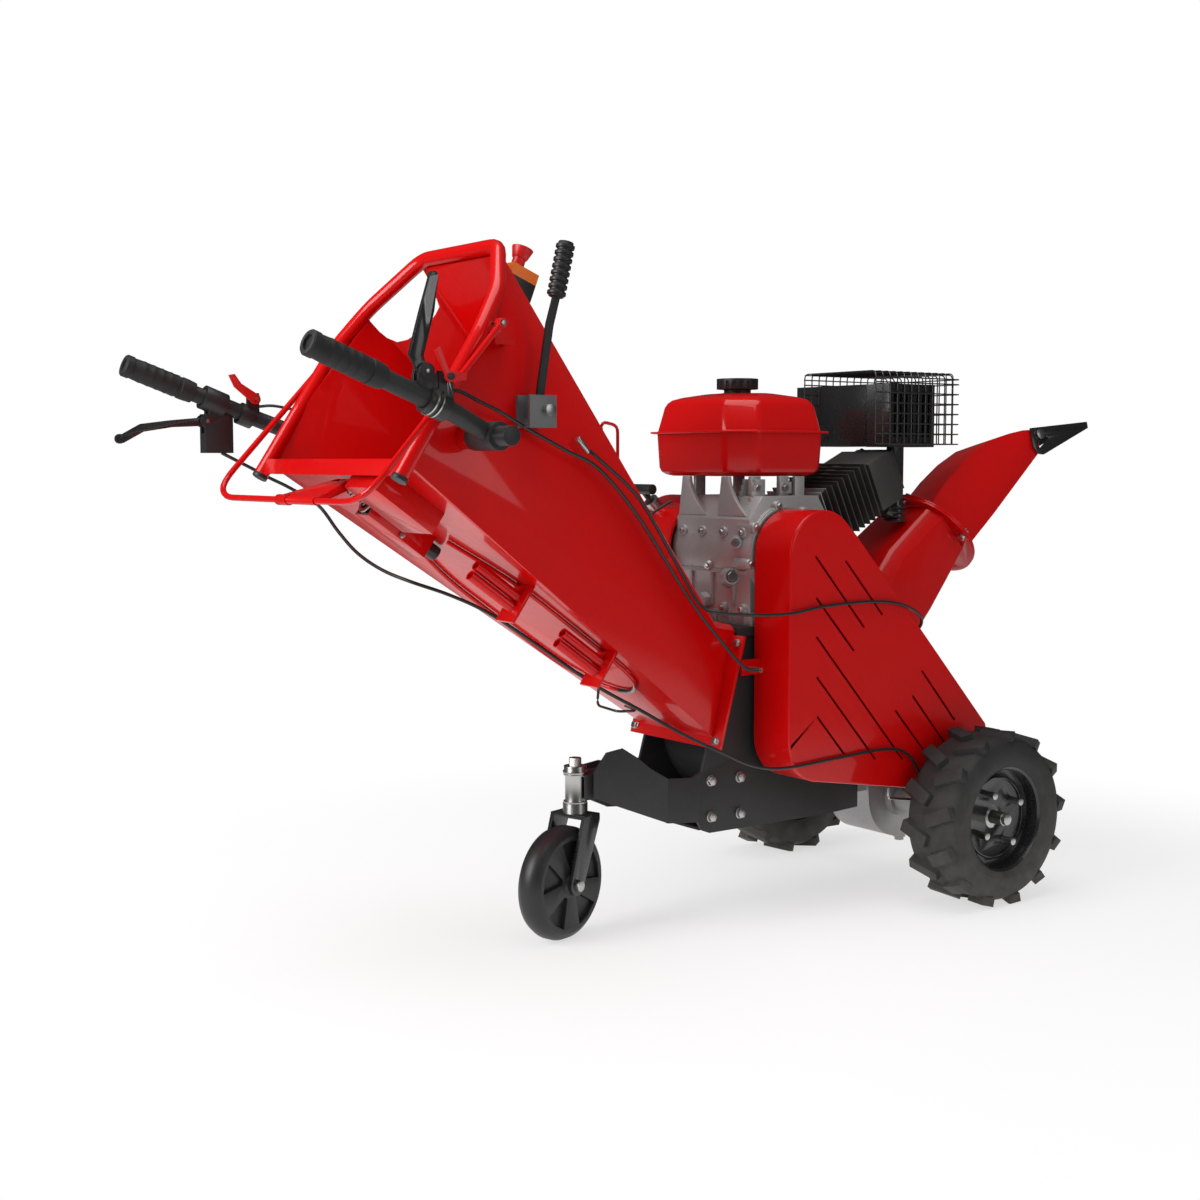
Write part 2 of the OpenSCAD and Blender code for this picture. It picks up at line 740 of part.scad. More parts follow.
module underside_brackets() {
    tube_len = 96;
    color([0.75, 0.02, 0.02]) under()
        for (start = [355, 560]) {
            translate([start, -150, -70]) cube([5, 50, 70]);
            for (drop = [25, 44])
                translate([start - tube_len, -125, -drop]) rotate([0, 90, 0]) difference() {
                    cylinder(h = tube_len, d = 18);
                    translate([0, 0, -1]) cylinder(h = tube_len, d = 13);
                }
        }
    color([0.75, 0.02, 0.02]) under()
        swept(rounded([[228, -60, -4.5], [352, -116, -4.5], [650, -110, -4.5], [716, -40, -4.5],
            [716, 40, -4.5], [650, 110, -4.5], [352, 116, -4.5], [228, 60, -4.5]], 60), 8, 8);
    // Cable hook under the hopper
    color([0.08, 0.08, 0.08]) swept(rounded([[-702, 0, 466], [-709, 0, 404], [-716, -70, 402],
        [-680, -76, 401], [-654, -10, 399]], 12), 5, 8);
    // Handle on the top plate
    color([0.75, 0.02, 0.02]) swept(rounded([[-744, -60, 856], [-744, -60, 904], [-709, -60, 897],
        [-709, -60, 815]], 12), 6, 8);
}

// ---- Handles and controls ----
grip_out = [-1434, 334, 995];
grip_in = [-1316, 327, 951];

module handlebars() {
    color([0.3, 0.3, 0.31]) both_sides() {
        swept(rounded([[grip_out.x + 5, -grip_out.y, grip_out.z - 2], [-1205, -320, 909],
            [hub_x, -290, hub_z]], 24), bar_d, 24);
    }
}

module handle_hubs() {
    color([0.75, 0.02, 0.02]) both_sides() disc_y(hub_x, hub_z, 38, -246, -212);
    color([0.3, 0.3, 0.31]) both_sides() disc_y(hub_x, hub_z, 43, -315, -246);
    color([0.07, 0.07, 0.07]) both_sides() disc_y(hub_x, hub_z, 30, -345, -315);
}

module handle_grips() {
    axis = grip_in - grip_out;
    color([0.06, 0.06, 0.06]) both_sides() {
        start = [grip_out.x, -grip_out.y, grip_out.z];
        step = [axis.x, -axis.y, axis.z] / norm(axis);
        difference() {
            bar(start, start + grip_len * step, grip_d);
            bar(start + 5 * step, start + 140 * step, bar_d);
        }
    }
}

clutch_pivot = [-1248, 962];

module lever_perches() {
    clutch_perch();
    brake_perch();
    throttle_perch();
}

module throttle_perch() {
    color([0.06, 0.06, 0.06]) difference() {
        union() {
            bar([-1236, 322, 919], [-1212, 320.5, 910], 38);
            translate([-1226, 308, 915]) cube([22, 6, 38]);
        }
        bar([-1260, 323, 928], [-1180, 319, 898], bar_d);
    }
    color([0.62, 0.62, 0.62]) disc_y(throttle_pivot.x, throttle_pivot.y, 6, 294, 309);
}

module clutch_perch() {
    color([0.06, 0.06, 0.06]) {
        difference() {
            union() {
                bar([-1246, -322, 924], [-1212, -320, 910], 40);
                translate([-1262, -332, 925]) cube([34, 20, 34]);
                translate([-1230, -334, 925]) cube([24, 14, 38]);
                disc_y(clutch_pivot.x, clutch_pivot.y, 24, -333, -327);
                disc_y(clutch_pivot.x, clutch_pivot.y, 24, -318, -312);
            }
            bar([-1316, -327, 951], [-1180, -318, 897], bar_d);
            translate([-1275, -326.5, 948]) cube([60, 8, 40]);
            disc_y(lock_pivot.x, lock_pivot.y, 7 + 2 * run_gap, -340, -326);
        }
    }
    color([0.62, 0.62, 0.62]) disc_y(clutch_pivot.x, clutch_pivot.y, 6, -335, -310);
}

module clutch_lever() {
    color([0.08, 0.08, 0.08]) difference() {
        plate_y(-326, -319) union() {
            translate(clutch_pivot) circle(d = 22);
            polygon([[-1255, 955], [-1272, 985], [-1254, 1046], [-1239, 1093], [-1225, 1097],
                [-1232, 1046], [-1250, 984], [-1241, 955]]);
            translate([-1232, 1095]) circle(d = 14);
        }
        disc_y(clutch_pivot.x, clutch_pivot.y, 6 + 2 * run_gap, -340, -300);
    }
}

lock_pivot = [-1218, 955];

module clutch_lock() {
    color([0.75, 0.02, 0.02]) {
        plate_y(-345, -341) union() {
            translate(lock_pivot) circle(d = 16);
            polygon([[-1222, 948], [-1192, 950], [-1190, 960], [-1220, 964], [-1234, 996], [-1242, 990]]);
        }
        disc_y(lock_pivot.x, lock_pivot.y, 7, -341, -327);
    }
    color([0.06, 0.06, 0.06]) disc_y(lock_pivot.x, lock_pivot.y, 10, -349, -345);
}

brake_pivot = [-1296, 904];

module brake_perch() {
    color([0.06, 0.06, 0.06]) {
        difference() {
            union() {
                bar([-1300, 326, 945], [-1262, 324, 930], 42);
                translate([-1300, 315, 850]) cube([50, 24, 66]);
                translate([-1292, 315, 905]) cube([36, 24, 30]);
            }
            bar([-1390, 332, 978], [-1180, 319, 898], bar_d);
            translate([-1320, 322, 884]) cube([50, 10, 40]);
        }
        disc_y(brake_pivot.x, brake_pivot.y, 22, 333, 339);
        disc_y(brake_pivot.x, brake_pivot.y, 22, 315, 321);
    }
    color([0.62, 0.62, 0.62]) disc_y(brake_pivot.x, brake_pivot.y, 6, 313, 341);
}

module brake_lever() {
    color([0.08, 0.08, 0.08]) difference() {
        plate_y(323, 331) union() {
            translate(brake_pivot) circle(d = 18);
            polygon([[-1292, 911], [-1355, 905], [-1409, 898], [-1442, 880], [-1447, 871],
                [-1440, 866], [-1405, 885], [-1355, 893], [-1292, 896]]);
            translate([-1445, 873]) circle(d = 16);
        }
        disc_y(brake_pivot.x, brake_pivot.y, 6 + 2 * run_gap, 300, 350);
    }
}

throttle_pivot = [-1214, 942];

module throttle_lever() {
    color([0.75, 0.02, 0.02]) difference() {
        plate_y(300, 305) union() {
            translate(throttle_pivot) circle(d = 18);
            polygon([[-1222, 938], [-1252, 962], [-1262, 982], [-1252, 984], [-1240, 968],
                [-1206, 948]]);
        }
        disc_y(throttle_pivot.x, throttle_pivot.y, 6 + 2 * run_gap, 290, 320);
    }
}

gear_pivot = [-976, 915];
gear_y = -218;

module gear_bracket() {
    color([0.3, 0.3, 0.31]) {
        translate([-1009, -half_at(-1009) - 5, 888]) rotate([0, 0, atan(hopper_flare)])
            cube([51, 6, 50]);
        translate([-1009, gear_y - 14, 888]) cube([50, 24, 6]);
        difference() {
            translate([-1009, gear_y - 16, 888]) cube([50, 6, 50]);
            disc_y(gear_pivot.x, gear_pivot.y, 12, -250, -200);
        }
    }
    color([0.62, 0.62, 0.62]) {
        disc_y(gear_pivot.x, gear_pivot.y, 12, gear_y - 22, -192);
        disc_y(gear_pivot.x, gear_pivot.y, 19, gear_y - 26, gear_y - 16);
        bar([-884, -186, 873], [-862, -184, 851], 9);
    }
}

module gear_lever() {
    color([0.3, 0.3, 0.31]) difference() {
        plate_y(gear_y - 3, gear_y + 3) union() {
            translate(gear_pivot) circle(d = 26);
            polygon([[-986, 915], [-987, 936], [-975, 1007], [-968, 1048], [-954, 1094],
                [-942, 1090], [-955, 1044], [-961, 1006], [-973, 934], [-966, 915]]);
        }
        disc_y(gear_pivot.x, gear_pivot.y, 12 + 2 * run_gap, -250, -200);
    }
    color([0.06, 0.06, 0.06]) translate([-949, gear_y, 1090]) rotate([0, 13.2, 0]) {
        cylinder(h = 88, d = 24);
        for (i = [0 : 7]) translate([0, 0, 3 + 10.6 * i]) cylinder(h = 6, d = 30);
    }
}

// Frame of the stop button: Z along its push axis
stop_foot = [-928, -45, 1100];
stop_tilt = 21.6;

module on_stop_box() {
    translate(stop_foot) rotate([0, stop_tilt, 0]) children();
}

module stop_button_box() {
    color([0.06, 0.06, 0.06]) on_stop_box() difference() {
        translate([-20, -22, 8]) cube([53, 45, 30]);
        translate([0, 0, 12]) cylinder(h = 60, d = 22 + 2 * run_gap);
    }
    // Wedge that carries the box on the sloping top plate
    color([0.75, 0.02, 0.02]) plate_y(-66, -24)
        polygon([[-943.7, 1114], [-894.4, 1095], [-894.4, 1048], [-943.7, 1111.5]]);
    color([0.95, 0.45, 0.05]) on_stop_box() difference() {
        translate([-20, -22, 38]) cube([53, 45, 19]);
        translate([0, 0, 30]) cylinder(h = 60, d = 22 + 2 * run_gap);
    }
}

module stop_button() {
    color([0.75, 0.02, 0.02]) on_stop_box() {
        translate([0, 0, 22]) cylinder(h = 53, d = 22);
        translate([0, 0, 74]) cylinder(h = 18, d1 = 26, d2 = 37);
    }
}

// ---- Control cables ----
// Routes from lever to clamp, as hand-chosen points
brake_route = [[-1270, 318, 850], [-1210, 318, 821], [-1186, 310, 807], [-1158, 290, 790],
    [-1124, 250, 760], [-1117, 190, 716], [-1113, 130, 682], [-1105, 60, 657], [-1085, 0, 640],
    [-1031, -30, 618], [-967, -45, 587], [-893, -60, 538], [-818, -70, 486], [-762, -80, 448],
    [-698, -110, 408], [-641, -150, 368], [-589, -195, 336], [-521, -207, 305],
    [-442, -207, 293], [-310, -207, 298], [-192, -207, 301], [-134, -207, 285], [-99, -206, 245]];
clutch_route = [[-1226, -304, 930], [-1183, -300, 938], [-1117, -262, 924], [-1060, -228, 911],
    [-994, -212, 884], [-918, -198, 854], [-840, -186, 822], [-742, -166, 739],
    [-614, -142, 597], [-540, -136, 522], [-489, -146, 469], [-462, -156, 464]];
gear_route = [[-862, -188, 853], [-843, -190, 838], [-744, -168, 772], [-643, -150, 650],
    [-606, -160, 589], [-582, -185, 576], [-521, -207, 570], [-436, -207, 568],
    [-349, -207, 577], [-233, -207, 579], [-153, -205, 569], [-89, -190, 545],
    [-62, -168, 521], [-45, -120, 490], [-38, -96, 465], [-27, -88, 410], [-20, -62, 336]];
throttle_route = [[-1205, 311, 930], [-1180, 286, 930], [-1120, 245, 912], [-1040, 215, 880],
    [-900, 190, 800], [-760, 170, 720], [-640, 150, 700], [-520, 140, 720], [-445, 120, 760]];

module control_cables() {
    color([0.05, 0.05, 0.05]) {
        swept(brake_route, 6, 8);
        swept(clutch_route, 6, 8);
        swept(gear_route, 6, 8);
        swept(throttle_route, 5, 8);
    }
}

// ---- Engine ----
cylinder_lean = 25;
fin_pitch = 16;
fins_from = 150;
fin_up = 50;
head_from = 300;
tank_low = 808;

// Frame of the cylinder: Z from the crankshaft out along the cylinder
module on_cylinder() {
    translate([crank_x, 10, crank_z]) rotate([0, 90 - cylinder_lean, 0]) children();
}

module engine_block() {
    color([0.68, 0.68, 0.7]) {
        difference() {
            union() {
                translate([-430, -96, deck_z]) cube([200, 218, 24]);
                disc_y(crank_x, crank_z, 176, -98, 124);
                plate_y(-90, 118)
                    polygon([[-428, deck_z], [-225, deck_z], [-215, 640], [-215, 700],
                        [-262, 772], [-400, 772], [-432, 730]]);
                disc_y(crank_x, crank_z, 120, -102, -90);
                on_cylinder() cylinder(h = head_from, d = 92);
                for (i = [0 : fin_count - 1])
                    on_cylinder() translate([-fin_up, -78, fins_from + fin_pitch * i])
                        cube([fin_up + 64, 150, 3]);
            }
            disc_y(crank_x, crank_z, 30 + 2 * run_gap, -120, 140);
        }
        // Oil filler plug
        translate([-428, 33, 575]) rotate([0, -90, 0]) cylinder(h = 16, d = 32, $fn = 6);
        // Tank brackets
        for (x = [-400, -330, -290]) translate([x, -58, 772]) cube([24, 8, tank_low - 772]);
        for (x = [-400, -300]) translate([x, 100, 772]) cube([24, 8, tank_low - 772]);
    }
}

module crankshaft() {
    // Shaft, flywheel and the pulley on the shaft's end
    color([0.7, 0.7, 0.7]) {
        disc_y(crank_x, crank_z, 30, -184, 126);
        disc_y(crank_x, crank_z, 150, 126, 158);
    }
    color([0.3, 0.3, 0.32]) pulley(crank_x, crank_z, crank_pulley_r, 30);
}

pipe_at = [15, -22];

module cylinder_head() {
    color([0.68, 0.68, 0.7]) difference() {
        on_cylinder() {
            translate([-38, -66, head_from]) cube([100, 130, 62]);
            translate([-30, -50, head_from + 62]) cube([84, 98, 26]);
            for (end = [-24, 48])
                translate([end, 40, head_from + 88]) cylinder(h = 6, d = 14, $fn = 6);
        }
        // Room for the exhaust pipe and its elbow
        translate([pipe_at.x, pipe_at.y, 700]) cylinder(h = 170, d = 36);
        translate([pipe_at.x, pipe_at.y, 700]) cylinder(h = 50, d = 48);
        bar([pipe_at.x, pipe_at.y, 732], [-16, -20, 742.7], 36);
    }
}

// Outline of the tank with cut corners
module tank_outline(grow) {
    cut = 46;
    x0 = -430 - grow;
    x1 = -430 + tank_len + grow;
    y0 = -60 - grow;
    y1 = 229 + grow;
    polygon([[x0 + cut, y0], [x1 - cut, y0], [x1, y0 + cut], [x1, y1 - cut], [x1 - cut, y1],
        [x0 + cut, y1], [x0, y1 - cut], [x0, y0 + cut]]);
}

cap_x = -310;
cap_y = 85;
tank_top = tank_low + tank_h;

module fuel_tank() {
    seam_z = 889;
    crown = 16;
    color([0.75, 0.02, 0.02]) {
        translate([0, 0, tank_low]) linear_extrude(tank_h - crown) tank_outline(0);
        translate([0, 0, seam_z]) linear_extrude(4) tank_outline(10);
        hull() {
            translate([0, 0, tank_top - crown - 1]) linear_extrude(1) tank_outline(0);
            translate([0, 0, tank_top - 1]) linear_extrude(1) tank_outline(-22);
        }
    }
    color([0.3, 0.3, 0.3]) translate([cap_x, cap_y, tank_top]) cylinder(h = 8.7, d = 52);
}

module fuel_cap() {
    grips = 18;
    color([0.05, 0.05, 0.05]) translate([cap_x, cap_y, tank_top + 9]) difference() {
        cylinder(h = 20, d = cap_d);
        for (i = [0 : grips - 1])
            rotate([0, 0, 360 * i / grips]) translate([cap_d / 2 + 1, 0, -1]) cylinder(h = 15, d = 7);
    }
}

shield_slots = 7;

module muffler() {
    color([0.05, 0.05, 0.05]) {
        // Body
        translate([-45, 2, 866]) cube([135, 198, 122]);
        // Slotted heat shield on its near end
        difference() {
            translate([-43, -60, 864]) cube([129, 62, 124]);
            translate([-40, -57, 867]) cube([123, 60, 118]);
            for (i = [0 : shield_slots - 1])
                translate([-30 + 16 * i, -62, 884]) cube([7, 10, 84]);
        }
        // Pipe down to the cylinder head, with its ribbed elbow
        translate([pipe_at.x, pipe_at.y, 726]) cylinder(h = 138, d = 34);
        for (i = [0 : 3]) translate([pipe_at.x, pipe_at.y, 716 + 9 * i]) cylinder(h = 5, d = 46);
        bar([pipe_at.x, pipe_at.y, 732], [-14, -20, 742], 34);
    }
}

cage_pitch = 20;
cage_cols = 12;
cage_depth = 10;
cage_rows = 7;
cage_foot = [-86, -64, 870];
wire = 3;

// Flat grille of wires: columns by rows of square gaps
module grille(cols, rows) {
    linear_extrude(wire) difference() {
        square([cols * cage_pitch + wire, rows * cage_pitch + wire]);
        for (i = [0 : cols - 1], k = [0 : rows - 1])
            translate([wire + i * cage_pitch, wire + k * cage_pitch])
                square(cage_pitch - wire);
    }
}

module muffler_cage() {
    color([0.06, 0.06, 0.06]) {
        translate(cage_foot) rotate([90, 0, 0]) grille(cage_cols, cage_rows);
        translate(cage_foot + [cage_cols * cage_pitch, 0, 0]) rotate([90, 0, 90])
            grille(cage_depth, cage_rows);
        translate(cage_foot + [0, 0, cage_rows * cage_pitch]) grille(cage_cols, cage_depth);
        // Feet on the heat shield
        for (i = [3, 7], k = [0, 5])
            disc_y(cage_foot.x + i * cage_pitch + wire / 2, cage_foot.z + k * cage_pitch + wire / 2,
                6, cage_foot.y - 1, cage_foot.y + 3.7);
    }
}

module recoil_cover() {
    color([0.75, 0.02, 0.02]) difference() {
        disc_y(crank_x, crank_z, 204, 118.3, 235);
        disc_y(crank_x, crank_z, 194, 117, 229);
        for (i = [0 : 11])
            translate([crank_x, 236, crank_z]) rotate([90, 0, 0]) rotate([0, 0, 30 * i])
                translate([40, -5, -1]) cube([44, 10, 12]);
    }
    // Guide that the starter rope runs out of
    color([0.72, 0.72, 0.72]) translate([-417, 200, 745]) rotate([0, -45, 0]) difference() {
        cylinder(h = 22, d = 30);
        translate([0, 0, -1]) cylinder(h = 30, d = 14);
    }
}

module starter_handle() {
    color([0.05, 0.05, 0.05]) translate([-417, 200, 745]) rotate([0, -45, 0]) {
        translate([0, 0, 8]) cylinder(h = 40, d = 12);
        translate([0, 34, 52]) rotate([90, 0, 0]) cylinder(h = 68, d = 20);
    }
}

// ---- Discharge ----
// Eight-sided section across the duct: place along the axis, reach below it, above it, half width
function duct_ring(t, low, high, wide) =
    let (along = [sin(ring_tilt), 0, cos(ring_tilt)], across = [-cos(ring_tilt), 0, sin(ring_tilt)],
        mid = [ring_x, 0, ring_z] + t * along, cut = 24)
    [for (c = [[-low, -wide + cut], [-low + cut, -wide], [high - cut, -wide], [high, -wide + cut],
        [high, wide - cut], [high - cut, wide], [-low + cut, wide], [-low, wide - cut]])
        mid + c[0] * across + [0, c[1], 0]];

duct_start = -250.6;
flange_gap = 0.5;
flange_t = 4.5;
ring_bolt_r = 96;
slot_half = 38;

module discharge_duct() {
    color([0.75, 0.02, 0.02]) difference() {
        union() {
            loft([duct_ring(duct_start, 77, 88, 86), duct_ring(-144, 72, 101, 84),
                duct_ring(-flange_t, 58, 80, 78)]);
            on_ring() translate([0, 0, -flange_gap - flange_t])
                cylinder(h = flange_t, r = ring_r, $fn = 96);
        }
        loft([duct_ring(duct_start - 1, 74, 85, 83), duct_ring(-144, 69, 98, 81),
            duct_ring(1, 55, 76, 74)]);
    }
    // Bolts that clamp the chute's flange through its slots
    color([0.62, 0.62, 0.62]) on_ring()
        for (i = [0 : 3]) rotate([0, 0, 90 * i]) translate([ring_bolt_r, 0, -flange_gap]) {
            translate([0, 0, -flange_t - 6]) cylinder(h = 6.5, d = 16, $fn = 6);
            translate([0, 0, -flange_t]) cylinder(h = flange_t + 14, d = 8);
            translate([0, 0, flange_t + 1.5]) cylinder(h = 6.5, d = 15, $fn = 6);
        }
}

// Frame of the turning chute: Z along its axis, X toward its lower side
module on_chute() {
    on_ring() rotate([0, 0, chute_turn]) children();
}

// Sections of the turning chute as [x, z]: upper edge, lower edge
chute_sections = [
    [[-54, 0], [64, 0]], [[-57, 60], [67, 50]], [[-55, 110], [70, 110]], [[-47, 170], [71, 160]],
    [[-31, 228], [72, 205]], [[-5, 275], [73, 250]], [[15, 305], [73.8, 280]],
    [[46, 340], [74.5, 298]]
];
chute_sheet = 2.5;

function chute_rings(inset) = [for (i = [0 : len(chute_sections) - 1])
    let (
        s = chute_sections[i],
        down = (s[1] - s[0]) / norm(s[1] - s[0]),
        past = inset == 0 ? 0 : i == 0 ? -1 : i == len(chute_sections) - 1 ? 4 : 0,
        top = s[0] + inset * down + [0, past],
        low = s[1] - inset * down + [0, past],
        half = chute_w / 2 - inset
    )
    [[top.x, -half, top.y], [top.x, half, top.y], [low.x, half, low.y], [low.x, -half, low.y]]];

module upper_chute() {
    color([0.75, 0.02, 0.02]) on_chute() difference() {
        union() {
            loft(chute_rings(0));
            difference() {
                cylinder(h = flange_t, r = ring_r, $fn = 96);
                for (i = [0 : 3])
                    rotate([0, 0, 90 * i - slot_half]) rotate_extrude(angle = 2 * slot_half)
                        translate([ring_bolt_r - 4.5, -1]) square([9, flange_t + 2]);
            }
        }
        loft(chute_rings(chute_sheet));
    }
}

flap_pivot = [48.3, 325.2];
flap_in = 62;
flap_t = 3;

module chute_flap() {
    color([0.05, 0.05, 0.05]) on_chute() difference() {
        union() {
            both_sides() plate_y(-flap_in - flap_t, -flap_in)
                polygon([[23.7, 318.8], [121.9, 439.3], [132.3, 430.4], [84, 300], [75, 292],
                    [67.8, 290.5], [54, 292.9]]);
            plate_y(-flap_in, flap_in) polygon([[46.5, 347], [121.9, 439.3], [124.2, 437.4], [49, 345]]);
        }
        disc_y(flap_pivot.x, flap_pivot.y, 10 + 2 * run_gap, -100, 100);
        // Slots that the flap's clamp slides in
        plate_y(-100, 100) hull() {
            translate([67, 333]) circle(d = 9);
            translate([64, 307]) circle(d = 9);
        }
    }
}

module flap_bolts() {
    color([0.72, 0.72, 0.72]) on_chute() both_sides() {
        disc_y(flap_pivot.x, flap_pivot.y, 10, -flap_in - flap_t - 1, -56);
        disc_y(flap_pivot.x, flap_pivot.y, 20, -flap_in - flap_t - 7, -flap_in - flap_t - 1);
    }
}

// ---- Drive wheels ----
// Wheel frame: Z along the axle from the tyre's middle outward
module on_wheel(side) {
    translate([0, side * (wheel_in + wheel_out) / 2, axle_z]) rotate([-side * 90, 0, 0]) children();
}

lug_h = 11;

module tyre(side) {
    r = tyre_d / 2;
    half = tyre_w / 2;
    color([0.06, 0.06, 0.06]) on_wheel(side) {
        rotate_extrude($fn = 96) polygon([
            [98, -half + 14], [99, -half + 6], [112, -half], [134, -half], [r - 18, -half + 4],
            [r - lug_h, -half + 16], [r - lug_h, half - 16], [r - 18, half - 4], [134, half],
            [112, half], [99, half - 6], [98, half - 14], [110, half - 10], [138, half - 10],
            [144, half - 24], [144, -half + 24], [138, -half + 10], [110, -half + 10]
        ]);
        for (i = [0 : lug_count - 1], end = [-1, 1])
            rotate([0, 0, 360 * (i + end / 4) / lug_count])
                translate([r - 17, 0, end * 29]) rotate([end * 24, 0, 0])
                    translate([0, -12, -30]) cube([17, 24, 60]);
    }
}

module left_tyre() {
    tyre(1);
}

module right_tyre() {
    tyre(-1);
}

module rim(side) {
    half = tyre_w / 2;
    color([0.05, 0.05, 0.05]) on_wheel(side) difference() {
        union() {
            rotate_extrude($fn = 96) polygon([
                [104, -half + 4], [104, -half + 8], [97.5, -half + 12], [97.5, half - 12],
                [104, half - 8], [104, half - 4], [94, half - 10], [94, -half + 10]
            ]);
            translate([0, 0, 20]) cylinder(h = 4, r = 95);
            translate([0, 0, 24]) difference() {
                cylinder(h = 5, r = 78);
                translate([0, 0, -1]) cylinder(h = 7, r = 74);
            }
        }
        translate([0, 0, 10]) cylinder(h = 30, d = 46);
        for (i = [0 : 3]) rotate([0, 0, 90 * i + 30]) translate([stud_pcd / 2, 0, 10])
            cylinder(h = 30, d = 14.4);
    }
}

module left_rim() {
    rim(1);
}

module right_rim() {
    rim(-1);
}

module axle(side) {
    color([0.62, 0.62, 0.62]) on_wheel(side) {
        translate([0, 0, -276]) cylinder(h = 276 + 50, d = axle_d);
        translate([0, 0, 50]) cylinder(h = 8, d = 21);
        translate([0, 0, -120]) cylinder(h = 132, d = 40);
        translate([0, 0, 12]) cylinder(h = 8, d = 136);
        for (i = [0 : 3]) rotate([0, 0, 90 * i + 30]) translate([stud_pcd / 2, 0, 20]) {
            cylinder(h = 30, d = 14);
        }
    }
}

module left_axle() {
    axle(1);
}

module right_axle() {
    axle(-1);
}

frame_side_plates();
frame_cross_members();
fasteners();
castor_arm();
castor_fork();
castor_hardware();
castor_wheel();
rotor_housing();
rotor_shaft();
rotor_drum();
rotor_blades();
rotor_pulley();
rotor_bearings();
gearbox();
gearbox_pulley();
drive_belts();
idler_arm();
idler_pulley();
belt_cover();
belt_back_plate();
feed_hopper();
mouth_tube();
tube_end_caps();
safety_hoop();
stop_link();
stop_rod();
stop_mechanism_box();
underside_brackets();
handlebars();
handle_hubs();
handle_grips();
clutch_lever();
lever_perches();
clutch_lock();
brake_lever();
throttle_lever();
gear_lever();
gear_bracket();
stop_button_box();
stop_button();
control_cables();
engine_block();
crankshaft();
cylinder_head();
fuel_tank();
fuel_cap();
muffler();
muffler_cage();
recoil_cover();
starter_handle();
discharge_duct();
upper_chute();
chute_flap();
flap_bolts();
left_tyre();
right_tyre();
left_rim();
right_rim();
left_axle();
right_axle();
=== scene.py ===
import json
import math

import bmesh
import bpy
from mathutils import Matrix, Vector
from mathutils.bvhtree import BVHTree

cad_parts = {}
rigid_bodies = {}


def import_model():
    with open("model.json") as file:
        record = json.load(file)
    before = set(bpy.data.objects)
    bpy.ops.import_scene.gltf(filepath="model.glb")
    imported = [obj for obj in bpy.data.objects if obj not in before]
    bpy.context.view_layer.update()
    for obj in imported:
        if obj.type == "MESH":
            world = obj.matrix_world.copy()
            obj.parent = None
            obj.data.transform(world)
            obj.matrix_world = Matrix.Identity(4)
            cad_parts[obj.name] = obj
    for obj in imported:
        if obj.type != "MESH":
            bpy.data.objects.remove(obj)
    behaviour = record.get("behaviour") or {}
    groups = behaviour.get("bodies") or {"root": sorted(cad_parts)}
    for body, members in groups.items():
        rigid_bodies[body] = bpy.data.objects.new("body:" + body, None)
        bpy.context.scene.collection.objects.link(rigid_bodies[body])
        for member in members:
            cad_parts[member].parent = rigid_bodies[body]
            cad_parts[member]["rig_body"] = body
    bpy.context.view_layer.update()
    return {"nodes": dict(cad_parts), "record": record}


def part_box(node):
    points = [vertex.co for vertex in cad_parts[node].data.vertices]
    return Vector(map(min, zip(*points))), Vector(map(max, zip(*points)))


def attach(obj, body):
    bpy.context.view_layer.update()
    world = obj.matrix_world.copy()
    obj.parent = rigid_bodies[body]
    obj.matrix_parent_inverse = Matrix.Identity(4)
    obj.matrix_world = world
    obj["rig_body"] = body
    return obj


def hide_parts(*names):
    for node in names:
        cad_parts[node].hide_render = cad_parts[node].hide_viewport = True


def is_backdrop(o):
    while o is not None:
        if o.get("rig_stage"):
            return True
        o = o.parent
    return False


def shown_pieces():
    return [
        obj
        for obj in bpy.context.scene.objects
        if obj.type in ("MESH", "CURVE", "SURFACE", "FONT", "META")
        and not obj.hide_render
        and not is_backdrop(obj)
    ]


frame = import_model()
cad = frame["nodes"]
body_of_node = {n: o["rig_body"] for n, o in cad.items()}
slot_of_node = {s["node"]: s["material_slot"] for s in frame["record"]["subparts"]}

# ---- Camera ----
PHOTO_W = 1200
PHOTO_H = 1200
LENS = 50.0
SENSOR = 36.0
YAW = math.radians(-36.47)
PITCH = math.radians(4.78)
STAND = Vector((-2.44871, -2.36241, 0.83713))

# Distances along a ray that misses, at which the nearest place is looked for
SEARCH_FROM = 1.5
SEARCH_STEP = 0.05
SEARCH_COUNT = 60

view_back = Vector((math.sin(YAW) * math.cos(PITCH), -math.cos(YAW) * math.cos(PITCH),
                    math.sin(PITCH)))
view_right = Vector((math.cos(YAW), math.sin(YAW), 0.0))
view_up = view_back.cross(view_right)


def make_camera():
    """The camera that the photograph was solved for."""
    data = bpy.data.cameras.new("camera")
    data.lens = LENS
    data.sensor_width = SENSOR
    data.sensor_fit = "AUTO"
    data.clip_end = 60.0
    camera = bpy.data.objects.new("camera", data)
    bpy.context.scene.collection.objects.link(camera)
    turn = Matrix((view_right, view_up, view_back)).transposed().to_4x4()
    camera.matrix_world = Matrix.Translation(STAND) @ turn
    bpy.context.scene.camera = camera
    return camera


camera = make_camera()


def seen_at(point):
    """Where a point of the row frame shows in the photograph's frame."""
    ray = Vector(point) - STAND
    depth = -ray.dot(view_back)
    reach = max(PHOTO_W, PHOTO_H) * LENS / SENSOR
    return (PHOTO_W / 2 + camera.data.shift_x * -max(PHOTO_W, PHOTO_H)
            + reach * ray.dot(view_right) / depth,
            PHOTO_H / 2 + camera.data.shift_y * max(PHOTO_W, PHOTO_H)
            - reach * ray.dot(view_up) / depth)


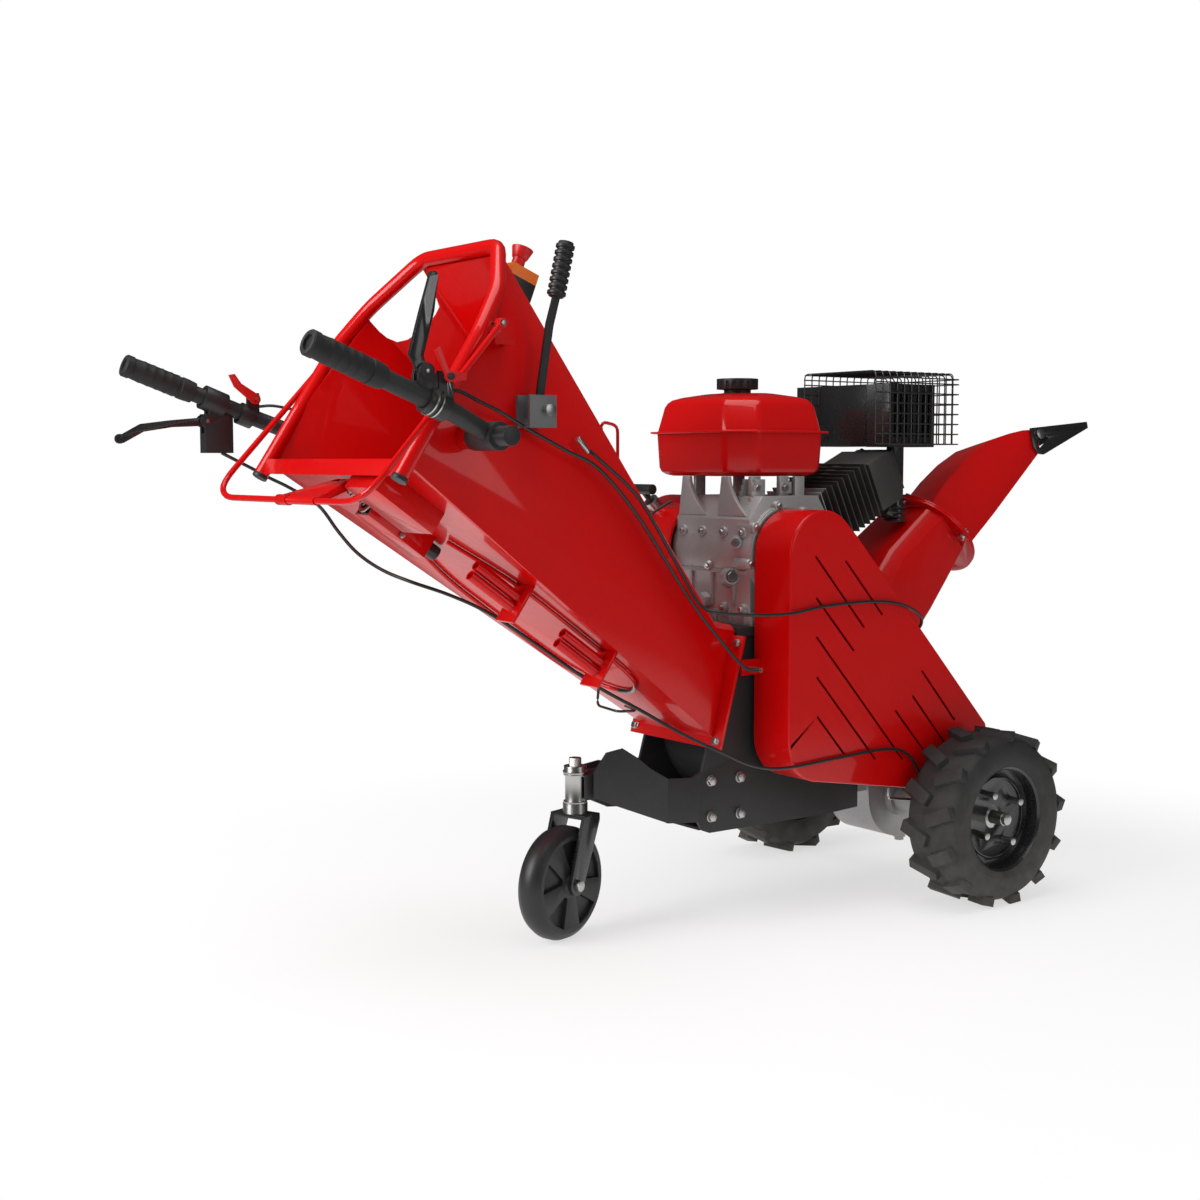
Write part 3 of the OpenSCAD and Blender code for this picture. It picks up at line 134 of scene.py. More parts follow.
def place_at(x, y, tree):
    """The place and normal on a carrier that shows at a point of the photograph."""
    side = max(PHOTO_W, PHOTO_H)
    shift_x, shift_y = camera.data.shift_x, camera.data.shift_y
    aim = Vector((x - PHOTO_W / 2 + shift_x * side, PHOTO_H / 2 - y + shift_y * side,
                  -side * LENS / SENSOR))
    turn = camera.matrix_world.to_3x3()
    way = (turn @ aim).normalized()
    hit, normal, _, _ = tree.ray_cast(STAND, way)
    if hit is None:
        best = None
        for i in range(SEARCH_COUNT):
            near = tree.find_nearest(STAND + way * (SEARCH_FROM + SEARCH_STEP * i))
            if near[0] is not None and (best is None or near[3] < best[3]):
                best = near
        hit, normal = best[0], best[1]
    return hit, normal


# ---- Image points ----
IMAGE_POINTS = {
    "object_left_x": 115, "object_right_x": 1088, "object_top_y": 239.5, "object_bottom_y": 940,
    "near_hub_end": (1006.7, 820.0), "castor_nut_top": (574.7, 758.1),
    "frame_bolt_upper_left": (710.4, 780.4), "frame_bolt_lower_right": (739.1, 812.9),
    "near_grip_end": (306.7, 341.0), "hoop_pivot_near": (489.6, 324.7),
    "hoop_sleeve": (280.9, 499.8), "brake_lever_tip": (121.0, 440.0),
    "tank_cap_middle": (737.5, 384.0),
    "flap_bolt": (1039.2, 434.8), "stop_button_top": (514.5, 244.5),
    "castor_axle_bolt": (577.3, 884.6), "boss_upper": (737.5, 542.5), "boss_lower": (730.0, 577.5),
    "drain_boss": (709.5, 564.5), "clamp_band": (437.0, 401.0),
}

# ---- Routes of the control cables, repeated from the part's source, in metres ----
BRAKE_ROUTE = [(-1.270, .318, .850), (-1.210, .318, .821), (-1.186, .310, .807),
               (-1.158, .290, .790), (-1.124, .250, .760), (-1.117, .190, .716),
               (-1.113, .130, .682), (-1.105, .060, .657), (-1.085, 0, .640),
               (-1.031, -.030, .618), (-.967, -.045, .587), (-.893, -.060, .538),
               (-.818, -.070, .486), (-.762, -.080, .448), (-.698, -.110, .408),
               (-.641, -.150, .368), (-.589, -.195, .336), (-.521, -.207, .305),
               (-.442, -.207, .293), (-.310, -.207, .298), (-.192, -.207, .301),
               (-.134, -.207, .285), (-.099, -.206, .245)]
CLUTCH_ROUTE = [(-1.226, -.304, .930), (-1.183, -.300, .938), (-1.117, -.262, .924),
                (-1.060, -.228, .911), (-.994, -.212, .884), (-.918, -.198, .854),
                (-.840, -.186, .822), (-.742, -.166, .739), (-.614, -.142, .597),
                (-.540, -.136, .522), (-.489, -.146, .469), (-.462, -.156, .464)]
GEAR_ROUTE = [(-.862, -.188, .853), (-.843, -.190, .838), (-.744, -.168, .772),
              (-.643, -.150, .650), (-.606, -.160, .589), (-.582, -.185, .576),
              (-.521, -.207, .570), (-.436, -.207, .568), (-.349, -.207, .577),
              (-.233, -.207, .579), (-.153, -.205, .569), (-.089, -.190, .545),
              (-.062, -.168, .521), (-.045, -.120, .490), (-.038, -.096, .465),
              (-.027, -.088, .410), (-.020, -.062, .336)]
THROTTLE_ROUTE = [(-1.205, .311, .930), (-1.180, .286, .930), (-1.120, .245, .912),
                  (-1.040, .215, .880), (-.900, .190, .800), (-.760, .170, .720),
                  (-.640, .150, .700), (-.520, .140, .720), (-.445, .120, .760)]


# ---- Shader node groups ----
def socket(group, name, kind, way, value=None):
    """Adds a socket to a node group."""
    made = group.interface.new_socket(name=name, in_out=way, socket_type=kind)
    if value is not None:
        made.default_value = value
    return made


def math_node(nodes, operation, second=None, third=None):
    """A math node, with its second and third values where they don't come from a link."""
    made = nodes.new("ShaderNodeMath")
    made.operation = operation
    for place, value in ((1, second), (2, third)):
        if value is not None:
            made.inputs[place].default_value = value
    return made


# How much finer the specks are than the slow change of tone
FINE_OVER_SLOW = 23.0


def colour_drift():
    """Slow change of tone and roughness over a surface, with fine specks on top."""
    group = bpy.data.node_groups.new("colour_drift", "ShaderNodeTree")
    socket(group, "Color", "NodeSocketColor", "INPUT", (0.5, 0.5, 0.5, 1))
    socket(group, "Worn Color", "NodeSocketColor", "INPUT", (0.4, 0.4, 0.4, 1))
    socket(group, "Scale", "NodeSocketFloat", "INPUT", 6.0)
    socket(group, "Amount", "NodeSocketFloat", "INPUT", 0.3)
    socket(group, "Roughness", "NodeSocketFloat", "INPUT", 0.4)
    socket(group, "Roughness Spread", "NodeSocketFloat", "INPUT", 0.1)
    socket(group, "Color", "NodeSocketColor", "OUTPUT")
    socket(group, "Roughness", "NodeSocketFloat", "OUTPUT")
    n, link = group.nodes, group.links.new
    inlet, outlet = n.new("NodeGroupInput"), n.new("NodeGroupOutput")
    place = n.new("ShaderNodeTexCoord")
    slow, fine = n.new("ShaderNodeTexNoise"), n.new("ShaderNodeTexNoise")
    slow.inputs["Detail"].default_value = 4.0
    fine.inputs["Detail"].default_value = 6.0
    finer = math_node(n, "MULTIPLY", FINE_OVER_SLOW)
    link(inlet.outputs["Scale"], finer.inputs[0])
    link(place.outputs["Object"], slow.inputs["Vector"])
    link(place.outputs["Object"], fine.inputs["Vector"])
    link(inlet.outputs["Scale"], slow.inputs["Scale"])
    link(finer.outputs[0], fine.inputs["Scale"])
    both = math_node(n, "MULTIPLY")
    link(slow.outputs[0], both.inputs[0])
    link(fine.outputs[0], both.inputs[1])
    spread = n.new("ShaderNodeMapRange")
    spread.inputs["From Min"].default_value = 0.12
    spread.inputs["From Max"].default_value = 0.42
    link(both.outputs[0], spread.inputs["Value"])
    weight = math_node(n, "MULTIPLY")
    link(spread.outputs[0], weight.inputs[0])
    link(inlet.outputs["Amount"], weight.inputs[1])
    mix = n.new("ShaderNodeMix")
    mix.data_type = "RGBA"
    link(weight.outputs[0], mix.inputs["Factor"])
    link(inlet.outputs["Color"], mix.inputs["A"])
    link(inlet.outputs["Worn Color"], mix.inputs["B"])
    link(mix.outputs["Result"], outlet.inputs["Color"])
    rough = math_node(n, "MULTIPLY_ADD")
    link(spread.outputs[0], rough.inputs[0])
    link(inlet.outputs["Roughness Spread"], rough.inputs[1])
    link(inlet.outputs["Roughness"], rough.inputs[2])
    link(rough.outputs[0], outlet.inputs["Roughness"])
    return group


def surface_grain():
    """Bump of a finish: orange peel of paint, sand-cast skin, moulded plastic."""
    group = bpy.data.node_groups.new("surface_grain", "ShaderNodeTree")
    socket(group, "Scale", "NodeSocketFloat", "INPUT", 300.0)
    socket(group, "Strength", "NodeSocketFloat", "INPUT", 0.1)
    socket(group, "Depth", "NodeSocketFloat", "INPUT", 0.0004)
    socket(group, "Normal", "NodeSocketVector", "OUTPUT")
    n, link = group.nodes, group.links.new
    inlet, outlet = n.new("NodeGroupInput"), n.new("NodeGroupOutput")
    place = n.new("ShaderNodeTexCoord")
    grain = n.new("ShaderNodeTexNoise")
    grain.inputs["Detail"].default_value = 3.0
    bump = n.new("ShaderNodeBump")
    link(place.outputs["Object"], grain.inputs["Vector"])
    link(inlet.outputs["Scale"], grain.inputs["Scale"])
    link(grain.outputs[0], bump.inputs["Height"])
    link(inlet.outputs["Strength"], bump.inputs["Strength"])
    link(inlet.outputs["Depth"], bump.inputs["Distance"])
    link(bump.outputs["Normal"], outlet.inputs["Normal"])
    return group


def ground_dust():
    """Pale dust that gathers toward the ground."""
    group = bpy.data.node_groups.new("ground_dust", "ShaderNodeTree")
    socket(group, "Color", "NodeSocketColor", "INPUT", (0.02, 0.02, 0.02, 1))
    socket(group, "Dust", "NodeSocketColor", "INPUT", (0.3, 0.28, 0.25, 1))
    socket(group, "Reach", "NodeSocketFloat", "INPUT", 0.35)
    socket(group, "Amount", "NodeSocketFloat", "INPUT", 0.2)
    socket(group, "Color", "NodeSocketColor", "OUTPUT")
    n, link = group.nodes, group.links.new
    inlet, outlet = n.new("NodeGroupInput"), n.new("NodeGroupOutput")
    place = n.new("ShaderNodeTexCoord")
    parts = n.new("ShaderNodeSeparateXYZ")
    cloud = n.new("ShaderNodeTexNoise")
    cloud.inputs["Scale"].default_value = 38.0
    cloud.inputs["Detail"].default_value = 6.0
    link(place.outputs["Object"], parts.inputs[0])
    link(place.outputs["Object"], cloud.inputs["Vector"])
    low = n.new("ShaderNodeMapRange")
    low.inputs["From Min"].default_value = 0.0
    low.inputs["To Min"].default_value = 1.0
    low.inputs["To Max"].default_value = 0.0
    link(parts.outputs["Z"], low.inputs["Value"])
    link(inlet.outputs["Reach"], low.inputs["From Max"])
    patch = math_node(n, "MULTIPLY")
    link(low.outputs[0], patch.inputs[0])
    link(cloud.outputs[0], patch.inputs[1])
    weight = math_node(n, "MULTIPLY")
    link(patch.outputs[0], weight.inputs[0])
    link(inlet.outputs["Amount"], weight.inputs[1])
    mix = n.new("ShaderNodeMix")
    mix.data_type = "RGBA"
    link(weight.outputs[0], mix.inputs["Factor"])
    link(inlet.outputs["Color"], mix.inputs["A"])
    link(inlet.outputs["Dust"], mix.inputs["B"])
    link(mix.outputs["Result"], outlet.inputs["Color"])
    return group


DRIFT = colour_drift()
GRAIN = surface_grain()
DUST = ground_dust()


def finish(name, colour, worn, rough, spread=0.08, scale=6.0, amount=0.4, grain=(420.0, 0.08, 4e-4),
           metallic=0.0, coat=0.0, coat_rough=0.05, dust=0.0, dust_reach=0.35, specular=0.5):
    """A material of one of the machine's finishes."""
    made = bpy.data.materials.new(name)
    made.use_nodes = True
    n, link = made.node_tree.nodes, made.node_tree.links.new
    shader = n["Principled BSDF"]
    drift = n.new("ShaderNodeGroup")
    drift.node_tree = DRIFT
    drift.inputs["Color"].default_value = (*colour, 1)
    drift.inputs["Worn Color"].default_value = (*worn, 1)
    drift.inputs["Scale"].default_value = scale
    drift.inputs["Amount"].default_value = amount
    drift.inputs["Roughness"].default_value = rough
    drift.inputs["Roughness Spread"].default_value = spread
    out_colour = drift.outputs["Color"]
    if dust > 0:
        dusty = n.new("ShaderNodeGroup")
        dusty.node_tree = DUST
        dusty.inputs["Amount"].default_value = dust
        dusty.inputs["Reach"].default_value = dust_reach
        link(out_colour, dusty.inputs["Color"])
        out_colour = dusty.outputs["Color"]
    skin = n.new("ShaderNodeGroup")
    skin.node_tree = GRAIN
    skin.inputs["Scale"].default_value = grain[0]
    skin.inputs["Strength"].default_value = grain[1]
    skin.inputs["Depth"].default_value = grain[2]
    link(out_colour, shader.inputs["Base Color"])
    link(drift.outputs["Roughness"], shader.inputs["Roughness"])
    link(skin.outputs["Normal"], shader.inputs["Normal"])
    shader.inputs["Metallic"].default_value = metallic
    shader.inputs["Specular IOR Level"].default_value = specular
    shader.inputs["Coat Weight"].default_value = coat
    shader.inputs["Coat Roughness"].default_value = coat_rough
    return made


RED = finish("red_paint", (0.58, 0.0006, 0.0008), (0.44, 0.0005, 0.0006), 0.3, spread=0.08, scale=3.0,
             amount=0.35, grain=(700.0, 0.05, 2e-4), coat=0.5, coat_rough=0.05, specular=0.15)
CHARCOAL = finish("charcoal_paint", (0.024, 0.024, 0.0255), (0.04, 0.039, 0.0385), 0.42, scale=7.0,
                  grain=(900.0, 0.12, 2e-4), dust=0.1, specular=0.3)
BLACK_PAINT = finish("black_paint", (0.014, 0.014, 0.015), (0.03, 0.03, 0.03), 0.22, scale=9.0,
                     grain=(600.0, 0.06, 2e-4), coat=0.3)
BLACK_PLASTIC = finish("black_plastic", (0.017, 0.017, 0.018), (0.03, 0.03, 0.032), 0.38, scale=14.0,
                       grain=(1400.0, 0.15, 2e-4))
RUBBER = finish("grip_rubber", (0.016, 0.016, 0.017), (0.035, 0.034, 0.033), 0.55, scale=18.0,
                grain=(1800.0, 0.25, 3e-4), specular=0.35)
TYRE = finish("tyre_rubber", (0.018, 0.018, 0.019), (0.042, 0.041, 0.04), 0.6, scale=16.0,
              grain=(1100.0, 0.3, 4e-4), dust=0.35, dust_reach=0.33, specular=0.35)
CAST = finish("cast_aluminium", (0.48, 0.47, 0.47), (0.3, 0.3, 0.3), 0.4, scale=11.0,
              grain=(900.0, 0.35, 5e-4), metallic=0.55)
ZINC = finish("zinc_plated_steel", (0.55, 0.55, 0.54), (0.36, 0.35, 0.33), 0.28, scale=26.0,
              grain=(1600.0, 0.12, 2e-4), metallic=1.0)
BLANK = finish("blank_steel", (0.5, 0.5, 0.51), (0.3, 0.29, 0.28), 0.3, scale=20.0,
               grain=(1300.0, 0.15, 2e-4), metallic=1.0)
IRON = finish("cast_iron", (0.11, 0.11, 0.115), (0.07, 0.068, 0.066), 0.5, scale=15.0,
              grain=(800.0, 0.4, 5e-4), metallic=0.6)
ORANGE = finish("orange_plastic", (0.75, 0.16, 0.01), (0.6, 0.12, 0.008), 0.35, scale=20.0)
RED_PLASTIC = finish("red_plastic", (0.6, 0.006, 0.006), (0.42, 0.004, 0.004), 0.32, scale=20.0,
                     grain=(1400.0, 0.1, 2e-4))
GREY_CAST = finish("grey_casting", (0.2, 0.2, 0.205), (0.14, 0.14, 0.142), 0.48, scale=15.0,
                   grain=(800.0, 0.4, 5e-4), metallic=0.5)
# Casting painted dark as painted shade, for the shadowed fins of the cylinder head and the block's end
# beside it
SHADE_DARK_CAST = finish("painted_shade_casting", (0.075, 0.073, 0.072), (0.045, 0.044, 0.043), 0.42, scale=13.0,
                   grain=(900.0, 0.35, 5e-4), metallic=0.5)
SHEATH = finish("cable_sheath", (0.013, 0.013, 0.014), (0.028, 0.028, 0.028), 0.34, scale=40.0,
                grain=(900.0, 0.15, 2e-4))

FINISH_OF_SLOT = {
    "red_paint": RED, "charcoal_paint": CHARCOAL, "black_paint": BLACK_PAINT,
    "black_rubber": RUBBER, "tyre_rubber": TYRE, "black_plastic": BLACK_PLASTIC,
    "orange_plastic": ORANGE, "red_plastic": RED_PLASTIC, "zinc_steel": ZINC,
    "blank_steel": BLANK, "cast_aluminium": CAST, "cast_iron": IRON, "belt_rubber": RUBBER,
}


# ---- Pieces ----
def add_piece(name, mesh, body, look, stands_for=()):
    """A finished mesh as a piece of the machine."""
    piece = bpy.data.objects.new(name, mesh)
    bpy.context.scene.collection.objects.link(piece)
    kinds = [face.material_index for face in mesh.polygons]
    mesh.materials.clear()
    for one in look if isinstance(look, (list, tuple)) else [look]:
        mesh.materials.append(one)
    mesh.polygons.foreach_set("material_index", kinds)
    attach(piece, body)
    if stands_for:
        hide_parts(*stands_for)
    return piece


SHARP = math.radians(34)


def soft_edges(mesh, limit=SHARP):
    """Smooth shading that keeps the corners sharper than the limit."""
    mesh.shade_smooth()
    work = bmesh.new()
    work.from_mesh(mesh)
    for edge in work.edges:
        edge.smooth = not edge.is_manifold or edge.calc_face_angle(0.0) < limit
    work.to_mesh(mesh)
    work.free()


def plain_mesh(source, modifiers):
    """The mesh after a few modifiers, as a plain mesh."""
    holder = bpy.data.objects.new("holder", source)
    bpy.context.scene.collection.objects.link(holder)
    for kind, values in modifiers:
        made = holder.modifiers.new(kind.lower(), kind)
        for key, value in values.items():
            setattr(made, key, value)
    bpy.context.view_layer.update()
    done = bpy.data.meshes.new_from_object(holder.evaluated_get(
        bpy.context.evaluated_depsgraph_get()))
    bpy.data.objects.remove(holder)
    return done


# Distances within which corners are joined, and the bend below which faces are one flat face
WELD = 2e-5
SLIVER = 1e-5
FLAT = math.radians(1.0)


def welded_copy(node, pick=None, cut=None):
    """A CAD node's triangles joined up again, each finish kept apart, with flat ones made one face."""
    mesh = cad[node].data.copy()
    work = bmesh.new()
    work.from_mesh(mesh)
    bmesh.ops.remove_doubles(work, verts=work.verts, dist=WELD)
    bmesh.ops.dissolve_degenerate(work, edges=work.edges, dist=SLIVER)
    if cut:
        bmesh.ops.bisect_plane(work, geom=work.verts[:] + work.edges[:] + work.faces[:],
                               plane_co=cut[0], plane_no=cut[1])
    for face in work.faces:
        face.material_index = pick(face.calc_center_median() * 1000) if pick else 0
    if node not in HOLED:
        bmesh.ops.dissolve_limit(work, angle_limit=FLAT, verts=work.verts, edges=work.edges,
                                 delimit={"MATERIAL"})
    work.to_mesh(mesh)
    work.free()
    return mesh


def rounded(mesh, width, steps, weighted=False):
    """The mesh with its sharp edges, or only its weighted edges, rounded off."""
    return plain_mesh(mesh, [("BEVEL", {
        "width": width, "segments": steps, "limit_method": "WEIGHT" if weighted else "ANGLE",
        "angle_limit": SHARP, "use_clamp_overlap": not weighted,
        "miter_outer": "MITER_ARC"})])


# Half the hopper's width at its back end, and how much it grows forward
WALL_BACK_X = -0.520
WALL_BACK_HALF = 0.105
WALL_FLARE = 0.186
WALL_SHEET = 0.001


def trim_at_wall(mesh):
    """Keeps the hubs' bosses from showing inside the hopper's sloping side."""
    for v in mesh.vertices:
        wall = WALL_BACK_HALF + WALL_FLARE * (WALL_BACK_X - v.co.x) - WALL_SHEET
        v.co.y = math.copysign(max(abs(v.co.y), wall), v.co.y)


def dress(node, edge, looks=None, pick=None, cut=None):
    """Stands in for a CAD node with its edges rounded and its curves shaded smooth."""
    mesh = welded_copy(node, pick, cut)
    if edge:
        mesh = rounded(mesh, edge, 2)
    if node == "handle_hubs":
        trim_at_wall(mesh)
    soft_edges(mesh)
    slot = slot_of_node[node]
    return add_piece(node + "_skin", mesh, body_of_node[node],
                     looks or FINISH_OF_SLOT[slot], (node,))


HOPPER_SLOPE = math.radians(35.2)
RING_TILT = math.radians(46.3)
STOP_TILT = math.radians(21.6)
STEM_X = -757


def near_line(p, a, b, radius):
    """Whether a point lies within a radius of the line from a to b."""
    a, b = Vector(a), Vector(b)
    along = (b - a).normalized()
    out = p - a
    return (out - out.dot(along) * along).length < radius


def down_slope(p):
    """A point in the frame of the hopper's underside, in millimetres."""
    out = p - Vector((-1237, 0, 842))
    return (out.x * math.cos(HOPPER_SLOPE) - out.z * math.sin(HOPPER_SLOPE), out.y,
            out.x * math.sin(HOPPER_SLOPE) + out.z * math.cos(HOPPER_SLOPE))


def on_stem(p):
    """How far a point is from the castor stem's axis, in millimetres."""
    return math.hypot(p.x - STEM_X, p.y)


def beside_ring(p):
    """A point in the frame of the chute's turning axis, in millimetres."""
    x, z = p.x - 137, p.z - 688.6
    return (x * math.cos(RING_TILT) - z * math.sin(RING_TILT), p.y,
            x * math.sin(RING_TILT) + z * math.cos(RING_TILT))


# Which finish of its node a face takes, by its middle in millimetres
def pick_hub(p):
    return 0 if abs(p.y) < 245.5 else 1 if abs(p.y) < 315.5 else 2


def pick_perch(p):
    pins = ((-1248, 962), (-1296, 904), (-1214, 942))
    for x, z in pins:
        if math.hypot(p.x - x, p.z - z) < 3.6:
            return 1
    return 0


def pick_stop_box(p):
    x, z = p.x + 928, p.z - 1100
    up = x * math.sin(STOP_TILT) + z * math.cos(STOP_TILT)
    if up < 8.5:
        return 2
    return 1 if up > 38 else 0


def pick_mechanism(p):
    x, y, z = down_slope(p)
    if x < 103.2 and abs(y) < 21 and z < 6 and x > 98:
        return 1
    return 2 if abs(y) < 13 and z > -29 and (x > 227.2 or 204 < x < 227 and abs(z + 15) < 13) else 0


def pick_brackets(p):
    return 1 if -720 < p.x < -650 and p.z < 470 and -85 < p.y < 12 else 0


def pick_duct(p):
    x, y, z = beside_ring(p)
    reach = math.hypot(x, y)
    on_bolt = any(math.hypot(x - 96 * math.cos(a), y - 96 * math.sin(a)) < 9.5
                  for a in (0, math.pi / 2, math.pi, 3 * math.pi / 2))
    return 1 if on_bolt and reach > 80 and (z > -0.3 or z < -5.2) else 0


def pick_gear_bracket(p):
    pin = math.hypot(p.x + 976, p.z - 915) < 10
    return 1 if pin or near_line(p, (-884, -186, 873), (-862, -184, 851), 5) and p.x > -886 else 0


def pick_recoil(p):
    return 1 if near_line(p, (-417, 200, 745), (-427, 200, 755), 16) and p.z > 740 else 0


def pick_gearbox(p):
    return 1 if p.y < -150.5 or p.y < -52 and near_line(p, (-110, -205, 195), (-60, -120, 200), 12) \
        or near_line(p, (-60, -120, 200), (-30, -50, 200), 5) else 0


# A point and the normal of the plane between the stop box's black foot and its orange top
STOP_BAND = (Vector((-0.928 + 0.038 * math.sin(STOP_TILT), -0.045,
                     1.1 + 0.038 * math.cos(STOP_TILT))),
             Vector((math.sin(STOP_TILT), 0, math.cos(STOP_TILT))))

# Nodes of more than one finish: their finishes, and which face takes which
PAINTED = {
    "castor_arm": ((CHARCOAL, ZINC), lambda p: int(on_stem(p) < 21.6)),
    "castor_fork": ((BLACK_PAINT, ZINC), lambda p: int(p.z > 218.2 and on_stem(p) < 22.6)),
    "handle_hubs": ((RED, CHARCOAL, BLACK_PLASTIC), pick_hub),
    "lever_perches": ((BLACK_PLASTIC, ZINC), pick_perch),
    "clutch_lock": ((RED_PLASTIC, BLACK_PLASTIC), lambda p: int(p.y < -345.2)),
    "gear_lever": ((CHARCOAL, BLACK_PLASTIC), lambda p: int(p.z > 1090 - 0.23 * (p.x + 949))),
    "gear_bracket": ((GREY_CAST, ZINC), pick_gear_bracket),
    "stop_button_box": ((BLACK_PLASTIC, ORANGE, RED), pick_stop_box, STOP_BAND),
    "stop_mechanism_box": ((RED, ZINC, BLACK_PLASTIC), pick_mechanism),
    "underside_brackets": ((RED, BLACK_PAINT), pick_brackets),
    "discharge_duct": ((RED, ZINC), pick_duct),
    "recoil_cover": ((RED, ZINC), pick_recoil),
    "gearbox": ((CAST, ZINC), pick_gearbox),
    # The head, and the block's end toward it, take the dark casting: painted shade, not the metal's
    # own colour
    "cylinder_head": ((SHADE_DARK_CAST,), lambda p: 0),
    "engine_block": ((CAST, SHADE_DARK_CAST), lambda p: int(p.x > -213)),
    "belt_cover": ((RED, ZINC), lambda p: int(math.hypot(p.x + 462, p.z - 464) < 4.8)),
}

# Nodes whose flat faces have holes in them
HOLED = ("belt_cover", "recoil_cover", "belt_back_plate", "muffler",
         "frame_side_plates", "rotor_housing")
# Width of the rounding on each node's edges, in metres
PLAIN_EDGE = 0.0008
EDGE_OF_NODE = {
    "feed_hopper": 0.003, "belt_back_plate": 0, "frame_side_plates": 0.0006,
    "rotor_housing": 0, "discharge_duct": 0.0015,
    "upper_chute": 0.0012, "muffler": 0.0015, "engine_block": 0.0012, "cylinder_head": 0.003,
    "gearbox": 0.003, "castor_wheel": 0.003, "stop_button_box": 0.002, "castor_fork": 0.0015,
    "fuel_cap": 0.0015, "handle_hubs": 0.002, "recoil_cover": 0.002, "left_tyre": 0.003,
    "right_tyre": 0.003, "gear_bracket": 0.007, "lever_perches": 0.0025, "clutch_lever": 0.0025,
    "brake_lever": 0.0028, "gear_lever": 0.0015, "throttle_lever": 0.0018, "clutch_lock": 0.0015,
    "starter_handle": 0.002,
}
# Nodes that other pieces stand for, made further on
MODELLED = ("control_cables", "handle_grips", "belt_cover", "fuel_tank", "muffler_cage")


def dress_all():
    """Dresses every node that isn't modelled anew."""
    for name in cad:
        if name in MODELLED:
            continue
        looks, pick, *cut = PAINTED.get(name, (None, None))
        dress(name, EDGE_OF_NODE.get(name, PLAIN_EDGE), looks, pick, *cut)


dress_all()


# ---- Swept tubes and cables ----
def smooth_route(points, per_span=6):
    """Points of a smooth curve through a route."""
    pts = [Vector(p) for p in points]
    pts = [pts[0] * 2 - pts[1]] + pts + [pts[-1] * 2 - pts[-2]]
    out = []
    for i in range(1, len(pts) - 2):
        a, b, c, d = pts[i - 1], pts[i], pts[i + 1], pts[i + 2]
        for k in range(per_span):
            t = k / per_span
            out.append(0.5 * ((2 * b) + (c - a) * t + (2 * a - 5 * b + 4 * c - d) * t * t
                              + (3 * b - a - 3 * c + d) * t ** 3))
    out.append(pts[-2])
    return out


def ring_about(work, middle, radius, side, up, sides):
    """Adds a round of vertices about a point."""
    return [work.verts.new(middle + radius * (math.cos(2 * math.pi * k / sides) * side
                                              + math.sin(2 * math.pi * k / sides) * up))
            for k in range(sides)]


def close_rings(work, rings):
    """Joins rings of the same count into a closed skin."""
    for a, b in zip(rings, rings[1:]):
        for k in range(len(a)):
            work.faces.new((a[k], a[(k + 1) % len(a)], b[(k + 1) % len(a)], b[k]))
    work.faces.new(rings[0][::-1])
    work.faces.new(rings[-1])


def tube_rings(work, route, radius, sides):
    """Adds a closed round tube along a route to a mesh being made."""
    rings = []
    up = None
    for i, p in enumerate(route):
        ahead = route[min(i + 1, len(route) - 1)] - route[max(i - 1, 0)]
        ahead.normalize()
        if up is None:
            up = Vector((0, 0, 1)) if abs(ahead.z) < 0.9 else Vector((0, 1, 0))
        across = ahead.cross(up).normalized()
        up = across.cross(ahead).normalized()
        rings.append(ring_about(work, p, radius, across, up, sides))
    close_rings(work, rings)


def finished_mesh(name, work, smooth=True):
    """The mesh being made, as a mesh with its faces outward."""
    bmesh.ops.recalc_face_normals(work, faces=work.faces)
    mesh = bpy.data.meshes.new(name)
    work.to_mesh(mesh)
    work.free()
    if smooth:
        soft_edges(mesh)
    return mesh


def lathe(work, start, along, profile, sides=32):
    """Adds a turned shape about a line: profile is places along the line with their radii."""
    along = Vector(along).normalized()
    side = along.orthogonal().normalized()
    up = along.cross(side)
    close_rings(work, [ring_about(work, Vector(start) + place * along, radius, side, up, sides)
                       for place, radius in profile])


# ---- Handlebar grips: ends of the near one, which the far one mirrors ----
GRIP_OUT = Vector((-1.434, -0.334, 0.995))
GRIP_IN = Vector((-1.316, -0.327, 0.951))
GRIP_LEN = 0.126
GRIP_RADIUS = 0.0189
GRIP_RIBS = 4
GRIP_RIB_PITCH = 0.0155
RIB_DEPTH = 0.0013


def make_grips():
    """Both rubber grips: hollow end, flange, ringed body and collar."""
    groove = GRIP_RADIUS - RIB_DEPTH
    profile = [(0.010, 0.0095), (0.001, 0.0112), (0.0, 0.0135), (0.001, 0.0172), (0.003, GRIP_RADIUS),
               (0.0135, GRIP_RADIUS), (0.015, groove), (0.0185, groove), (0.0205, GRIP_RADIUS - 0.001)]
    for i in range(GRIP_RIBS):
        place = 0.030 + i * GRIP_RIB_PITCH
        profile += [(place, GRIP_RADIUS - 0.0006), (place + 0.0015, groove + 0.0012),
                    (place + 0.0045, groove + 0.0012), (place + 0.006, GRIP_RADIUS - 0.0006)]
    profile += [(0.094, GRIP_RADIUS), (0.0955, groove), (0.100, groove), (0.1015, GRIP_RADIUS),
                (0.111, GRIP_RADIUS), (GRIP_LEN - 0.001, GRIP_RADIUS - 0.0012),
                (GRIP_LEN, GRIP_RADIUS - 0.003)]
    work = bmesh.new()
    for side in (1, -1):
        start = Vector((GRIP_OUT.x, GRIP_OUT.y * side, GRIP_OUT.z))
        run = Vector((GRIP_IN.x, GRIP_IN.y * side, GRIP_IN.z)) - start
        lathe(work, start, run, profile)
    add_piece("ribbed_grips", finished_mesh("ribbed_grips", work), "chassis",
              RUBBER, ("handle_grips",))


make_grips()


# ---- Belt cover: pressed sheet with a rounded rim round its face ----
RIM_ROUND = 0.004
RIM_BEND = 0.6
RIM_DEPTH = 0.05


